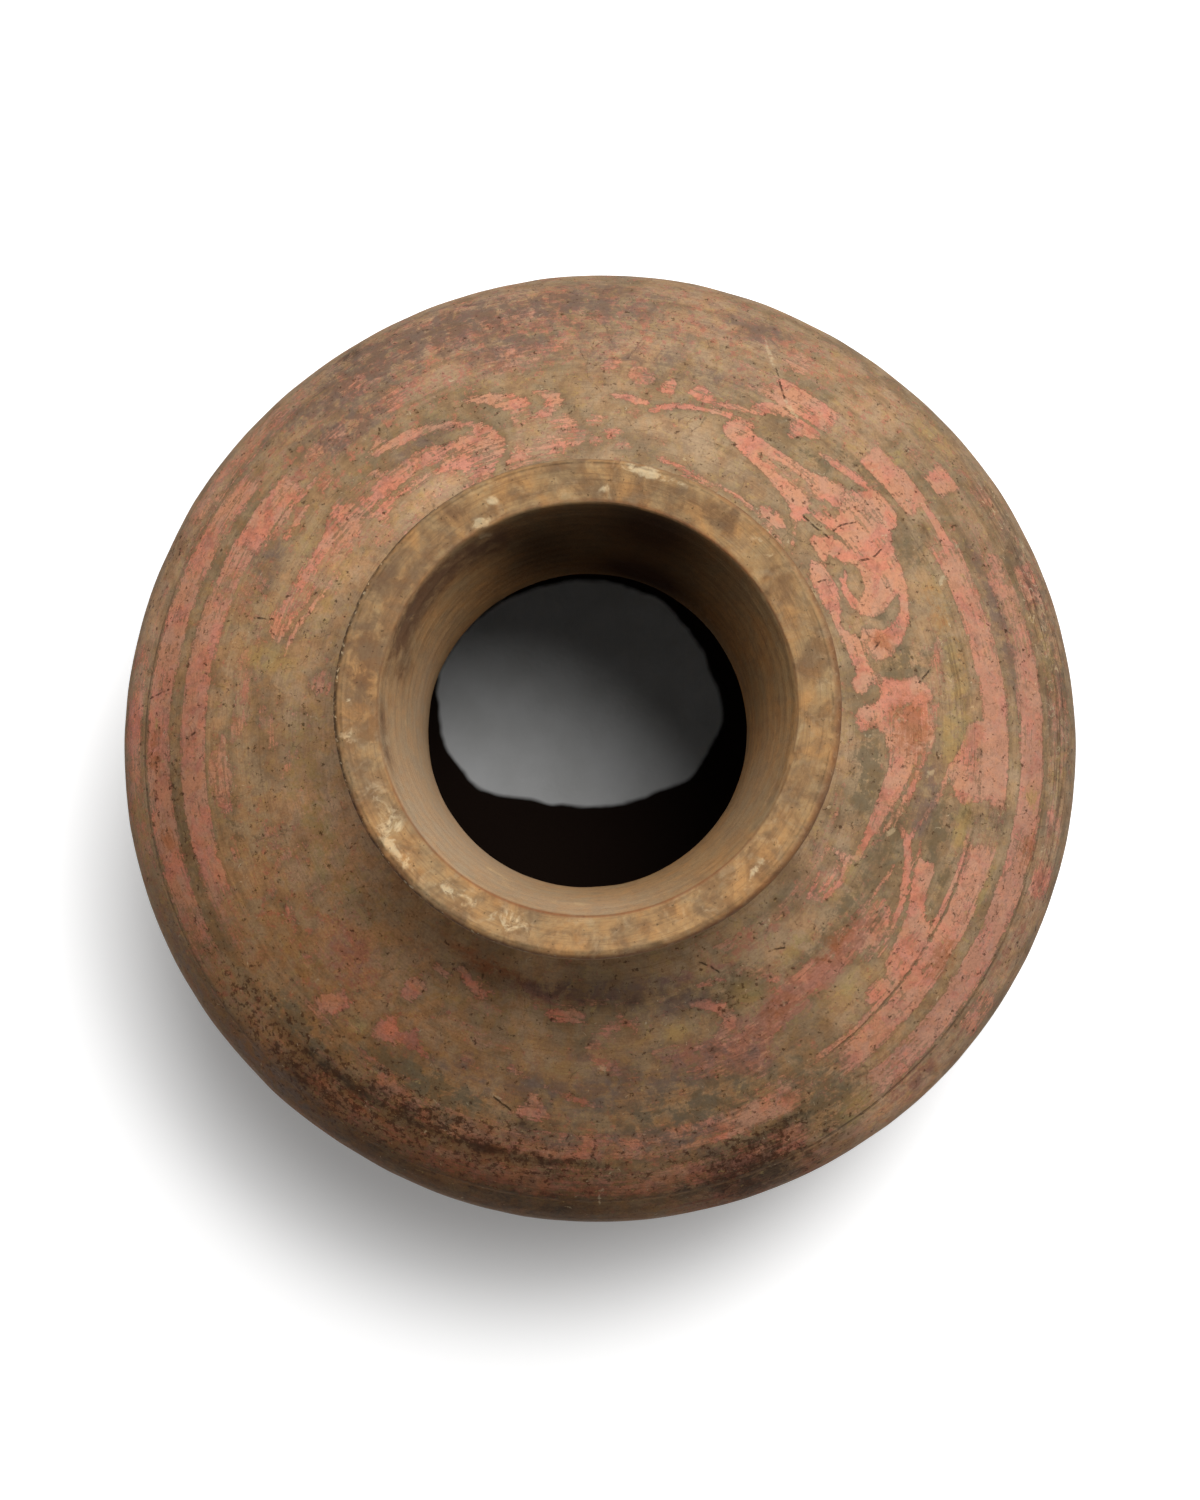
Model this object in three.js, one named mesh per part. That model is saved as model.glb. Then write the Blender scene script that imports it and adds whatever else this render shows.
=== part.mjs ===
// A painted pottery jar with a ring foot, a wide shoulder and a flaring mouth, as a potter builds it:
// thrown sections with rebated edges, stacked on one axis and luted together with thin layers of slip.
// Millimetres, +Z up, with the origin at the centre of the ring that the foot stands on.

import * as THREE from 'three';

// Heights above the table
const HEIGHT = 290;
const GIRTH_HEIGHT = 160;
const FOOT_HEIGHT = 22;

// Rises from one level to the next: girth to shoulder top, shoulder top to neck, throat to foot of neck
const SHOULDER_RISE = 54;
const NECK_BEND = 18;
const THROAT_DROP = 8;

// Outside radii
const GIRTH_RADIUS = 150;
const FOOT_RADIUS = 80;
const BASE_RADIUS = 72;
const SHOULDER_TOP_RADIUS = 68;
const NECK_TOP_RADIUS = 67;
const LIP_RADIUS = 73;

// Inside radii
const THROAT_RADIUS = 48.2;
const LIP_INNER_RADIUS = 60.5;

// Thicknesses
const WALL = 9;
const NECK_WALL = 9;
const FOOT_WALL = 11;
const FLOOR = 11;
const SLIP = 0.8;

// The lip: its height at the outer face, the fall of its top towards the mouth, and its softened edges
const LIP_HEIGHT = 14;
const LIP_DIP = 2.5;
const LIP_ROUND = 2.5;
const LIP_UNDERCUT = 4;

// Joints: how far one section laps inside the next, and the room left between lapped faces
const FLOOR_LAP = 5;
const GIRTH_LAP = 6;
const NECK_LAP = 6;
const LIP_LAP = 4;
const CLEARANCE = 0.3;

// Shape of the flared neck and foot, and how finely the round outlines are stepped
const FLARE_POWER = 1.8;
const TURN_SEGMENTS = 64;
const WALL_STEPS = 8;
const FLARE_STEPS = 5;
const BEND_STEPS = 4;

const point = (radius, height) => new THREE.Vector2(radius, height);

// The bellied walls: parts of ellipses about the axis, centred at the height of the girth.
// An outer wall passes through a given radius and height, and the inner one lies a wall's thickness inside it.
function bellyThrough(radius, height) {
  const halfHeight = Math.abs(height - GIRTH_HEIGHT) / Math.sqrt(1 - (radius / GIRTH_RADIUS) ** 2);
  return { halfWidth: GIRTH_RADIUS, halfHeight };
}

function insideOf(belly) {
  return { halfWidth: belly.halfWidth - WALL, halfHeight: belly.halfHeight - WALL };
}

function bellyAngle(belly, height) {
  return Math.asin((height - GIRTH_HEIGHT) / belly.halfHeight);
}

function bellyRadius(belly, height) {
  return belly.halfWidth * Math.cos(bellyAngle(belly, height));
}

function upperBellyHeight(belly, radius) {
  return GIRTH_HEIGHT + belly.halfHeight * Math.sqrt(1 - (radius / belly.halfWidth) ** 2);
}

function bellyArc(belly, startHeight, endHeight) {
  const start = bellyAngle(belly, startHeight);
  const end = bellyAngle(belly, endHeight);
  const clockwise = end < start;
  const { halfWidth, halfHeight } = belly;
  const arc = new THREE.EllipseCurve(0, GIRTH_HEIGHT, halfWidth, halfHeight, start, end, clockwise);
  return arc.getPoints(WALL_STEPS);
}

// The bend from the slope of a shoulder at the given radius into an upright wall that starts at top
function neckBend(belly, radius, top) {
  const height = upperBellyHeight(belly, radius);
  const angle = bellyAngle(belly, height);
  const slope = (belly.halfHeight * Math.cos(angle)) / (belly.halfWidth * Math.sin(angle));
  const corner = point(top.x, height + (radius - top.x) * slope);
  return new THREE.QuadraticBezierCurve(point(radius, height), corner, top).getPoints(BEND_STEPS);
}

// A flare leaves the vertical at its root and opens more and more towards its end.
function flareRadius(flare, height) {
  const share = (height - flare.rootHeight) / (flare.endHeight - flare.rootHeight);
  return flare.rootRadius + (flare.endRadius - flare.rootRadius) * share ** FLARE_POWER;
}

function flareArc(flare, startHeight, endHeight) {
  const points = [];
  for (let step = 0; step <= FLARE_STEPS; step++) {
    const height = startHeight + ((endHeight - startHeight) * step) / FLARE_STEPS;
    points.push(point(flareRadius(flare, height), height));
  }
  return points;
}

// Places that neighbouring sections share
const neckRadius = THROAT_RADIUS + NECK_WALL;
const shoulderTop = GIRTH_HEIGHT + SHOULDER_RISE;
const neckRoot = shoulderTop + NECK_BEND;
const throatHeight = neckRoot - THROAT_DROP;
const lowerOuter = bellyThrough(BASE_RADIUS, FOOT_HEIGHT);
const lowerInner = insideOf(lowerOuter);
const upperOuter = bellyThrough(SHOULDER_TOP_RADIUS, shoulderTop);
const upperInner = insideOf(upperOuter);

const floorTop = FOOT_HEIGHT + FLOOR;
const floorSeat = floorTop - FLOOR_LAP;
const floorEdge = bellyRadius(lowerInner, floorTop);
const girthTongueTop = GIRTH_HEIGHT + GIRTH_LAP;
const girthTongueRadius = GIRTH_RADIUS - WALL / 2;
const collarTop = neckRoot + NECK_LAP;
const collarRadius = THROAT_RADIUS + NECK_WALL / 2;
const lipSeat = HEIGHT - LIP_HEIGHT;
const lipTongueTop = lipSeat + LIP_LAP;
const mouthEdge = point(LIP_INNER_RADIUS, HEIGHT - LIP_DIP);

const neckOuter = {
  rootRadius: neckRadius,
  rootHeight: neckRoot,
  endRadius: NECK_TOP_RADIUS,
  endHeight: lipSeat,
};
const neckInner = {
  rootRadius: THROAT_RADIUS,
  rootHeight: throatHeight,
  endRadius: mouthEdge.x,
  endHeight: mouthEdge.y,
};
const lipTongueRadius = (flareRadius(neckInner, lipSeat) + NECK_TOP_RADIUS) / 2;

// Each outline runs anticlockwise round a section's cut face, outwards along its foot first.
function footRingOutline() {
  const top = FOOT_HEIGHT - SLIP;
  const outside = { rootRadius: BASE_RADIUS, rootHeight: top, endRadius: FOOT_RADIUS, endHeight: 0 };
  const outer = flareArc(outside, 0, top);
  const inner = outer.map((p) => point(p.x - FOOT_WALL, p.y)).reverse();
  return [...outer, ...inner];
}

function baseDiscOutline() {
  const floorRadius = floorEdge - CLEARANCE;
  return [
    point(0, FOOT_HEIGHT),
    point(BASE_RADIUS, FOOT_HEIGHT),
    point(bellyRadius(lowerOuter, floorSeat), floorSeat),
    point(floorRadius, floorSeat),
    point(floorRadius, floorTop),
    point(0, floorTop),
  ];
}

function lowerBowlOutline() {
  const foot = floorSeat + SLIP;
  const tongueFace = girthTongueRadius - CLEARANCE;
  return [
    point(floorEdge, foot),
    ...bellyArc(lowerOuter, foot, GIRTH_HEIGHT),
    point(tongueFace, GIRTH_HEIGHT),
    point(tongueFace, girthTongueTop),
    point(bellyRadius(upperInner, girthTongueTop), girthTongueTop),
    ...bellyArc(lowerInner, GIRTH_HEIGHT, floorTop),
  ];
}

function shoulderOutline() {
  const foot = GIRTH_HEIGHT + SLIP;
  const lapTop = girthTongueTop + CLEARANCE;
  const collarFace = collarRadius - CLEARANCE;
  const outerBend = neckBend(upperOuter, SHOULDER_TOP_RADIUS, point(neckRadius, neckRoot));
  const innerBend = neckBend(upperInner, SHOULDER_TOP_RADIUS, point(THROAT_RADIUS, throatHeight));
  return [
    point(girthTongueRadius, foot),
    ...bellyArc(upperOuter, foot, outerBend[0].y),
    ...outerBend.slice(1),
    point(collarFace, neckRoot),
    point(collarFace, collarTop),
    point(flareRadius(neckInner, collarTop), collarTop),
    ...innerBend.reverse(),
    ...bellyArc(upperInner, innerBend.at(-1).y, lapTop).slice(1),
    point(girthTongueRadius, lapTop),
  ];
}

function neckOutline() {
  const foot = neckRoot + SLIP;
  const lapTop = collarTop + CLEARANCE;
  const tongueFace = lipTongueRadius - CLEARANCE;
  return [
    point(collarRadius, foot),
    ...flareArc(neckOuter, foot, lipSeat),
    point(tongueFace, lipSeat),
    point(tongueFace, lipTongueTop),
    ...flareArc(neckInner, lipTongueTop, lapTop),
    point(collarRadius, lapTop),
  ];
}

function mouthRimOutline() {
  const foot = lipSeat + SLIP;
  const lapTop = lipTongueTop + CLEARANCE;
  const rounding = new THREE.EllipseCurve(
    LIP_RADIUS - LIP_ROUND, HEIGHT - LIP_ROUND, LIP_ROUND, LIP_ROUND, 0, Math.PI / 2);
  return [
    point(lipTongueRadius, foot),
    point(NECK_TOP_RADIUS, foot),
    point(LIP_RADIUS, foot + LIP_UNDERCUT),
    ...rounding.getPoints(BEND_STEPS),
    ...flareArc(neckInner, mouthEdge.y, lapTop),
    point(lipTongueRadius, lapTop),
  ];
}

// A layer of slip on a flat seat, under the section that stands on it
function slipOutline(innerRadius, outerRadius, seatHeight) {
  return [
    point(innerRadius, seatHeight),
    point(outerRadius, seatHeight),
    point(outerRadius, seatHeight + SLIP),
    point(innerRadius, seatHeight + SLIP),
  ];
}

// Finishes
const paintedShoulder = { color: 0x9a7250, roughness: 0.62, metalness: 0 };
const burnishedClay = { color: 0x85694a, roughness: 0.58, metalness: 0 };
const bareLip = { color: 0xa78356, roughness: 0.72, metalness: 0 };
const footClay = { color: 0x75604a, roughness: 0.8, metalness: 0 };
const greyFloor = { color: 0x77756f, roughness: 0.9, metalness: 0 };
const firedSlip = { color: 0x8d8474, roughness: 0.85, metalness: 0 };

const jar = new THREE.Group();
jar.rotation.x = Math.PI / 2;

function addTurned(name, outline, finish) {
  const ring = outline[0].x > 0;
  const profile = ring ? [...outline, outline[0].clone()] : outline;
  const geometry = new THREE.LatheGeometry(profile, TURN_SEGMENTS);
  const piece = new THREE.Mesh(geometry, new THREE.MeshStandardMaterial(finish));
  piece.name = name;
  jar.add(piece);
}

addTurned('foot_ring', footRingOutline(), footClay);
addTurned('foot_slip', slipOutline(BASE_RADIUS - FOOT_WALL, BASE_RADIUS, FOOT_HEIGHT - SLIP), firedSlip);
addTurned('base_disc', baseDiscOutline(), greyFloor);
addTurned('base_slip', slipOutline(floorEdge, bellyRadius(lowerOuter, floorSeat), floorSeat), firedSlip);
addTurned('lower_bowl', lowerBowlOutline(), burnishedClay);
addTurned('girth_slip', slipOutline(girthTongueRadius, GIRTH_RADIUS, GIRTH_HEIGHT), firedSlip);
addTurned('shoulder', shoulderOutline(), paintedShoulder);
addTurned('neck_slip', slipOutline(collarRadius, neckRadius, neckRoot), firedSlip);
addTurned('neck', neckOutline(), burnishedClay);
addTurned('lip_slip', slipOutline(lipTongueRadius, NECK_TOP_RADIUS, lipSeat), firedSlip);
addTurned('mouth_rim', mouthRimOutline(), bareLip);

const part = new THREE.Group();
part.add(jar);

export default part;
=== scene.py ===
"""A thrown pottery jar with a worn painted shoulder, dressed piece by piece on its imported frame."""

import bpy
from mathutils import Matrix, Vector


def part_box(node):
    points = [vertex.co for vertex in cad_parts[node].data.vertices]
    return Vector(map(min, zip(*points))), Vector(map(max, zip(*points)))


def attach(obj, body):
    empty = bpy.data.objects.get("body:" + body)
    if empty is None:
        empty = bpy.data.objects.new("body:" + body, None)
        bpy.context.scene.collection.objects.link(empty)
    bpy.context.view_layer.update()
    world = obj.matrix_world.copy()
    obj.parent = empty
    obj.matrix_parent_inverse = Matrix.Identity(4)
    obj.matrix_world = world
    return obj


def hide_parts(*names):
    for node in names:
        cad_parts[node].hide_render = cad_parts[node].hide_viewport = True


bl_info = {
    "name": "Painted Pottery Jar",
    "version": (1, 0, 0),
    "blender": (4, 5, 0),
    "location": "View3D > Sidebar > Jar",
    "description": "Builds a thrown pottery jar with worn cloud scrolls and bands on its shoulder",
    "category": "Object",
}

import math

import bpy
import numpy as np
from mathutils import Matrix, Vector

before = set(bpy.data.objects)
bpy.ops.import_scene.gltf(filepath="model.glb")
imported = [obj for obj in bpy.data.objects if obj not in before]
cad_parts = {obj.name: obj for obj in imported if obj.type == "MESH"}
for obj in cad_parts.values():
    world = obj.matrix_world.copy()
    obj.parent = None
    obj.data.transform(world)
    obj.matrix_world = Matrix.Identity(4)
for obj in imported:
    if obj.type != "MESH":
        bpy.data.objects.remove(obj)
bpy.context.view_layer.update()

MM = 0.001


def node_ring(node):
    """Outside radius, foot and top of a turned node, in millimetres."""
    low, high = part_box(node)
    return high.x / MM, low.z / MM, high.z / MM


def paint_colour(red, green, blue):
    """A colour given on a 0 to 255 scale, as the linear values that Blender's sockets take."""
    linear = []
    for part in (red, green, blue):
        share = part / 255
        linear.append(share / 12.92 if share <= 0.04045 else ((share + 0.055) / 1.055) ** 2.4)
    return (*linear, 1.0)


# Sizes read from the frame, in millimetres

FOOT_RADIUS, FOOT_BOTTOM, _ = node_ring("foot_ring")
BASE_RADIUS, _, BASE_BOTTOM = node_ring("foot_slip")
FLOOR_TOP = node_ring("base_disc")[2]
BOWL_SEAT = node_ring("base_slip")[1]
GIRTH_RADIUS, GIRTH_HEIGHT, _ = node_ring("girth_slip")
NECK_RADIUS, NECK_ROOT, _ = node_ring("neck_slip")
NECK_TOP_RADIUS, LIP_SEAT, _ = node_ring("lip_slip")
LIP_RADIUS, _, LIP_TOP = node_ring("mouth_rim")
GIRTH_LAP_TOP = node_ring("lower_bowl")[2]
COLLAR_TOP = node_ring("shoulder")[2]
LIP_LAP_TOP = node_ring("neck")[2]

# Sizes that no node's box gives, in millimetres

SHOULDER_TOP_RADIUS = 68.0
SHOULDER_RISE = 54.0
THROAT_RADIUS = 48.2
THROAT_DROP = 8.0
LIP_INNER_RADIUS = 60.5
LIP_DIP = 2.5
LIP_ROUND = 2.5
LIP_UNDERCUT = 4.0
LIP_EDGE_ROUND = 0.6
LIP_SHELF_ROUND = 1.4
MOUTH_HEIGHT = LIP_TOP - LIP_DIP
GROOVE_RADIUS = 71.2
GROOVE_DEPTH = 0.35
GROOVE_WIDTH = 0.4
FLARE_POWER = 1.8
WALL = 9.0
FOOT_WALL = 11.0
FOOT_EDGE_ROUND = 1.2
FOOT_FLAT_START = 1.0
LAP_ROOM = 0.3
SKIN_GAP = 0.02
SLIP_INSET = 1.0
THROAT_SHIFT = (-1.7, -1.2)
THROAT_FADE = 30.0
THROAT_SKIN = 1.5
OVAL_START = 40.0

# Nicks: (degrees, radius, height, size, depth)

LIP_NICKS = (
    (214, 72.6, 289.0, 2.4, 0.7), (199, 72.8, 288.8, 1.6, 0.5), (188, 72.8, 289.0, 1.3, 0.4),
    (157, 72.8, 288.8, 2.0, 0.6), (121, 61.0, 287.6, 2.6, 0.6), (346, 61.0, 287.6, 2.0, 0.5),
    (62, 72.8, 289.0, 1.8, 0.4), (286, 72.8, 288.8, 2.6, 0.6), (32, 60.9, 287.6, 1.6, 0.4),
    (318, 72.8, 288.6, 1.6, 0.4))
FOOT_NICKS = (
    (20, 79.6, 1.2, 4.0, 1.0), (75, 79.6, 1.0, 2.6, 0.7), (130, 79.6, 1.4, 5.0, 1.2),
    (205, 79.6, 1.0, 3.0, 0.8), (260, 79.6, 1.2, 4.4, 1.1), (318, 79.6, 1.0, 2.4, 0.6))


# Values that the panel offers

def length_value(label, words, size, least=0.0):
    """A length, given in millimetres."""
    return bpy.props.FloatProperty(
        name=label, description=words, default=size * MM, min=least * MM, unit="LENGTH")


def angle_value(label, words, degrees):
    return bpy.props.FloatProperty(
        name=label, description=words, default=math.radians(degrees), subtype="ANGLE")


def strength_value(label, words, power):
    return bpy.props.FloatProperty(name=label, description=words, default=power, min=0.0)


def swatch(label, words, *mixed):
    return bpy.props.FloatVectorProperty(
        name=label, description=words, size=4, min=0.0, max=1.0, subtype="COLOR",
        default=paint_colour(*mixed))


class JarShape(bpy.types.PropertyGroup):
    """How the hand-thrown walls depart from true rounds."""

    wobble: length_value("Wobble", "How far the walls wander from a true round", 0.7)
    wobble_size: length_value("Wobble size", "Length of one slow bulge or hollow of the walls", 110, 1)
    dents: length_value("Dents", "Depth of the small hand marks", 0.22)
    dent_size: length_value("Dent size", "Length of one small hand mark", 16, 1)
    ring_depth: length_value("Throwing rings", "Height of the ridges that the wheel leaves", 0.07)
    ring_pitch: length_value("Ring pitch", "Distance from one throwing ridge to the next", 5.5, 1)
    mouth_oval: bpy.props.FloatProperty(
        name="Oval mouth", description="Share by which the lip is wider than it is deep",
        default=0.009, min=0.0, max=0.1, subtype="FACTOR")


class JarColours(bpy.types.PropertyGroup):
    """Colours of the clay, the paint and what time has left on them."""

    salmon: swatch("Salmon paint", "Thick fresh red paint", 213, 140, 113)
    veil: swatch("Veil", "Thin dusty remains of the paint", 178, 118, 95)
    brick: swatch("Brick paint", "Thin or dirty red paint", 190, 123, 99)
    film: swatch("Film", "What is left where the red paint has worn off", 174, 126, 102)
    sand: swatch("Sandy paint", "Dusty red paint", 204, 152, 118)
    faded: swatch("Faded paint", "Grey-pink paint that has lost its strength", 190, 140, 115)
    olive: swatch("Olive ground", "Burnished ground between the painted scrolls", 172, 142, 105)
    tan: swatch("Tan ground", "Warm bare ground", 188, 152, 114)
    umber: swatch("Umber ground", "Dark mottling of the ground", 126, 97, 73)
    plum: swatch("Plum stain", "Dull stain where the paint has gone", 123, 99, 84)
    moss: swatch("Moss stain", "Grey-green stain", 112, 97, 72)
    ochre: swatch("Ochre crust", "Yellow earth left in the surface", 184, 153, 96)
    rust: swatch("Rust stain", "Orange-brown stain over the paint", 166, 103, 66)
    soot: swatch("Soot", "Black fire marks", 52, 39, 29)
    baked: swatch("Baked crust", "Grey-brown crust round the girth", 106, 88, 70)
    clot: swatch("Clot", "Dark rusty clots round the fire marks", 66, 40, 26)
    throat_stain: swatch("Throat stain", "Purple-brown stain under the lip", 92, 70, 58)
    pale: swatch("Pale scratch", "Freshly scratched clay and lime specks", 214, 190, 150)
    lip_tan: swatch("Lip", "Rubbed bare clay of the lip", 167, 136, 96)
    lip_brown: swatch("Lip stain", "Brown mottling of the lip", 109, 82, 60)
    rim: swatch("Rim line", "Reddish line along the inner edge of the lip", 134, 84, 56)
    throat: swatch("Throat", "Clay inside the neck", 180, 139, 92)
    dust: swatch("Throat dust", "Grey dust on the inside of the neck", 196, 170, 140)
    # Near black: soot, and also painted shade for the dark deep inside the body
    inside: swatch("Inside", "Sooty inner wall", 27, 13, 4)
    silt: swatch("Silt", "Pale silt on the floor of the jar", 238, 238, 237)
    foot: swatch("Foot", "Rough unburnished clay of the foot", 156, 132, 102)
    slip: swatch("Slip", "Fired slip in the joints", 141, 132, 116)


class JarStage(bpy.types.PropertyGroup):
    """Where the camera and the lamps stand."""

    camera_distance: length_value(
        "Camera distance", "From the lens to the axis of the jar at its girth", 1500, 500)
    camera_elevation: angle_value("Camera elevation", "Angle of the view above the table", 84.8)
    camera_azimuth: angle_value("Camera azimuth", "Turn of the view to the right of straight on", 17.6)
    key_strength: strength_value("Key lamp", "Power of the large lamp at the upper right, in watts", 6.4)
    top_strength: strength_value("Top lamp", "Power of the lamp over the mouth, in watts", 5.0)
    sky_strength: strength_value("Sky", "Soft light from overhead, fading to none at the horizon", 0.43)


# Outlines of the turned walls, as lists of (radius, height) in millimetres, and the steps along them

OUTER_STEP = 1.25
INNER_STEP = 8.0
FINE_STEP = 0.7
ROUND_STEP = 0.35
FRIEZE_STEP = 0.8
BAND_STEP = 2.5
BOWL_STEP = 2.2
BEND_STEP = 2.0
INNER_BEND_STEP = 4.0
LIP_TOP_STEP = 0.3
LIP_EDGE_STEP = 0.2
FOOT_STEP = 2.0
FOOT_ROUND_STEP = 0.4
FLOOR_STEP = 1.5
UNDERSIDE_STEP = 2.5
FRIEZE_EDGE = 122.0


def belly_through(radius, height):
    """Half width and half height of the ellipse round the girth that passes through a place."""
    return GIRTH_RADIUS, abs(height - GIRTH_HEIGHT) / math.sqrt(1 - (radius / GIRTH_RADIUS) ** 2)


def inside_of(belly):
    return belly[0] - WALL, belly[1] - WALL


def belly_radius(belly, height):
    return belly[0] * math.sqrt(1 - ((height - GIRTH_HEIGHT) / belly[1]) ** 2)


def upper_height(belly, radius):
    return GIRTH_HEIGHT + belly[1] * math.sqrt(1 - (radius / belly[0]) ** 2)


def belly_arc(belly, start, end, step):
    """Places along an ellipse from one height to another."""
    first = math.asin((start - GIRTH_HEIGHT) / belly[1])
    last = math.asin((end - GIRTH_HEIGHT) / belly[1])
    run = abs(last - first) * (belly[0] + belly[1]) / 2
    angles = np.linspace(first, last, max(2, int(run / step)))
    return [(belly[0] * math.cos(a), GIRTH_HEIGHT + belly[1] * math.sin(a)) for a in angles]


def neck_bend(belly, radius, top, step):
    """The curve from the slope of the shoulder up into the wall of the neck."""
    height = upper_height(belly, radius)
    slope = belly[1] / belly[0] * radius / math.sqrt(belly[0] ** 2 - radius ** 2)
    start = np.array((radius, height))
    corner = np.array((top[0], height + (radius - top[0]) * slope))
    end = np.array(top)
    run = np.linalg.norm(corner - start) + np.linalg.norm(end - corner)
    shares = np.linspace(0, 1, max(3, int(run / step)))
    return [tuple((1 - t) ** 2 * start + 2 * t * (1 - t) * corner + t * t * end) for t in shares]


def flare_radius(flare, height):
    root_radius, root_height, end_radius, end_height = flare
    share = np.maximum(0.0, (height - root_height) / (end_height - root_height))
    return root_radius + (end_radius - root_radius) * share ** FLARE_POWER


def flare_arc(flare, start, end, step):
    heights = np.linspace(start, end, max(2, int(abs(end - start) / step)))
    return [(flare_radius(flare, h), h) for h in heights]


def straight(start, end, step):
    """Places along a straight stretch, without its last one."""
    shares = np.linspace(0, 1, max(2, int(math.dist(start, end) / step) + 1))[:-1]
    return [(start[0] + (end[0] - start[0]) * t, start[1] + (end[1] - start[1]) * t) for t in shares]


def rounded(centre, radius, start, end, step):
    """An arc about a centre between two angles in degrees."""
    angles = np.radians(np.linspace(start, end, max(3, int(radius * math.radians(abs(end - start)) / step))))
    return [(centre[0] + radius * math.cos(a), centre[1] + radius * math.sin(a)) for a in angles]


LOWER_OUTER = belly_through(BASE_RADIUS, BASE_BOTTOM)
LOWER_INNER = inside_of(LOWER_OUTER)
UPPER_OUTER = belly_through(SHOULDER_TOP_RADIUS, GIRTH_HEIGHT + SHOULDER_RISE)
UPPER_INNER = inside_of(UPPER_OUTER)
THROAT_HEIGHT = NECK_ROOT - THROAT_DROP
FLOOR_EDGE = belly_radius(LOWER_INNER, FLOOR_TOP)
GIRTH_LAP_RADIUS = GIRTH_RADIUS - WALL / 2
COLLAR_RADIUS = (THROAT_RADIUS + NECK_RADIUS) / 2
NECK_OUTER = (NECK_RADIUS, NECK_ROOT, NECK_TOP_RADIUS, LIP_SEAT)
NECK_INNER = (THROAT_RADIUS, THROAT_HEIGHT, LIP_INNER_RADIUS, MOUTH_HEIGHT)
LIP_LAP_RADIUS = (flare_radius(NECK_INNER, LIP_SEAT) + NECK_TOP_RADIUS) / 2


def seam(level):
    """Foot and top of the hidden slip at a joint, and the height where the smoothed skins meet."""
    low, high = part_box(level)
    return low.z / MM, high.z / MM, (low.z + high.z) / 2 / MM


def over_slip(level, radius):
    """The step from the top of a layer of slip out to the skin above it."""
    _, top, skin = seam(level)
    return [(radius - SLIP_INSET, top), (radius - SLIP_INSET, skin + SKIN_GAP)]


def under_slip(level, radius):
    """The step from the skin below a layer of slip in to its foot."""
    foot, _, skin = seam(level)
    return [(radius, skin - SKIN_GAP), (radius - SLIP_INSET, skin - SKIN_GAP), (radius - SLIP_INSET, foot)]


def shoulder_outline():
    _, slip_top, skin = seam("girth_slip")
    neck_foot = seam("neck_slip")[0]
    frieze_foot = upper_height(UPPER_OUTER, FRIEZE_EDGE)
    throat = (THROAT_RADIUS, THROAT_HEIGHT)
    inner_top = upper_height(UPPER_INNER, SHOULDER_TOP_RADIUS)
    lap_top = GIRTH_LAP_TOP + LAP_ROOM
    return [
        (GIRTH_LAP_RADIUS, slip_top),
        *over_slip("girth_slip", GIRTH_RADIUS),
        *belly_arc(UPPER_OUTER, skin + SKIN_GAP, frieze_foot, BAND_STEP)[:-1],
        *belly_arc(UPPER_OUTER, frieze_foot, GIRTH_HEIGHT + SHOULDER_RISE, FRIEZE_STEP),
        *neck_bend(UPPER_OUTER, SHOULDER_TOP_RADIUS, (NECK_RADIUS, neck_foot), BEND_STEP)[1:],
        *under_slip("neck_slip", NECK_RADIUS),
        (COLLAR_RADIUS - LAP_ROOM, neck_foot),
        (COLLAR_RADIUS - LAP_ROOM, COLLAR_TOP),
        *flare_arc(NECK_INNER, COLLAR_TOP, THROAT_HEIGHT, BEND_STEP),
        *neck_bend(UPPER_INNER, SHOULDER_TOP_RADIUS, throat, INNER_BEND_STEP)[::-1][1:],
        *belly_arc(UPPER_INNER, inner_top, lap_top, INNER_STEP)[1:],
        (GIRTH_LAP_RADIUS, lap_top),
    ]


def lower_bowl_outline():
    _, slip_top, skin = seam("base_slip")
    girth_foot = seam("girth_slip")[0]
    tongue = GIRTH_LAP_RADIUS - LAP_ROOM
    return [
        (FLOOR_EDGE, slip_top),
        *over_slip("base_slip", belly_radius(LOWER_OUTER, slip_top)),
        *belly_arc(LOWER_OUTER, skin + SKIN_GAP, GIRTH_HEIGHT, BOWL_STEP),
        *under_slip("girth_slip", GIRTH_RADIUS),
        (tongue, girth_foot),
        (tongue, GIRTH_LAP_TOP),
        (belly_radius(UPPER_INNER, GIRTH_LAP_TOP), GIRTH_LAP_TOP),
        *belly_arc(LOWER_INNER, GIRTH_HEIGHT, FLOOR_TOP, INNER_STEP),
    ]


def neck_outline():
    _, slip_top, skin = seam("neck_slip")
    lip_foot = seam("lip_slip")[0]
    tongue = LIP_LAP_RADIUS - LAP_ROOM
    return [
        (COLLAR_RADIUS, slip_top),
        *over_slip("neck_slip", NECK_RADIUS),
        *flare_arc(NECK_OUTER, skin + SKIN_GAP, lip_foot, OUTER_STEP),
        *under_slip("lip_slip", NECK_TOP_RADIUS),
        (tongue, lip_foot),
        (tongue, LIP_LAP_TOP),
        *flare_arc(NECK_INNER, LIP_LAP_TOP, COLLAR_TOP + SKIN_GAP, OUTER_STEP),
        (COLLAR_RADIUS, COLLAR_TOP + SKIN_GAP),
    ]


def hump(values, middle, half_width):
    """1 at a middle value, falling away to both sides."""
    return np.exp(-((values - middle) / half_width) ** 2)


def grooved(places):
    """Sinks a fine groove into the top of the lip."""
    return [(r, h - GROOVE_DEPTH * hump(r, GROOVE_RADIUS, GROOVE_WIDTH)) for r, h in places]


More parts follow.
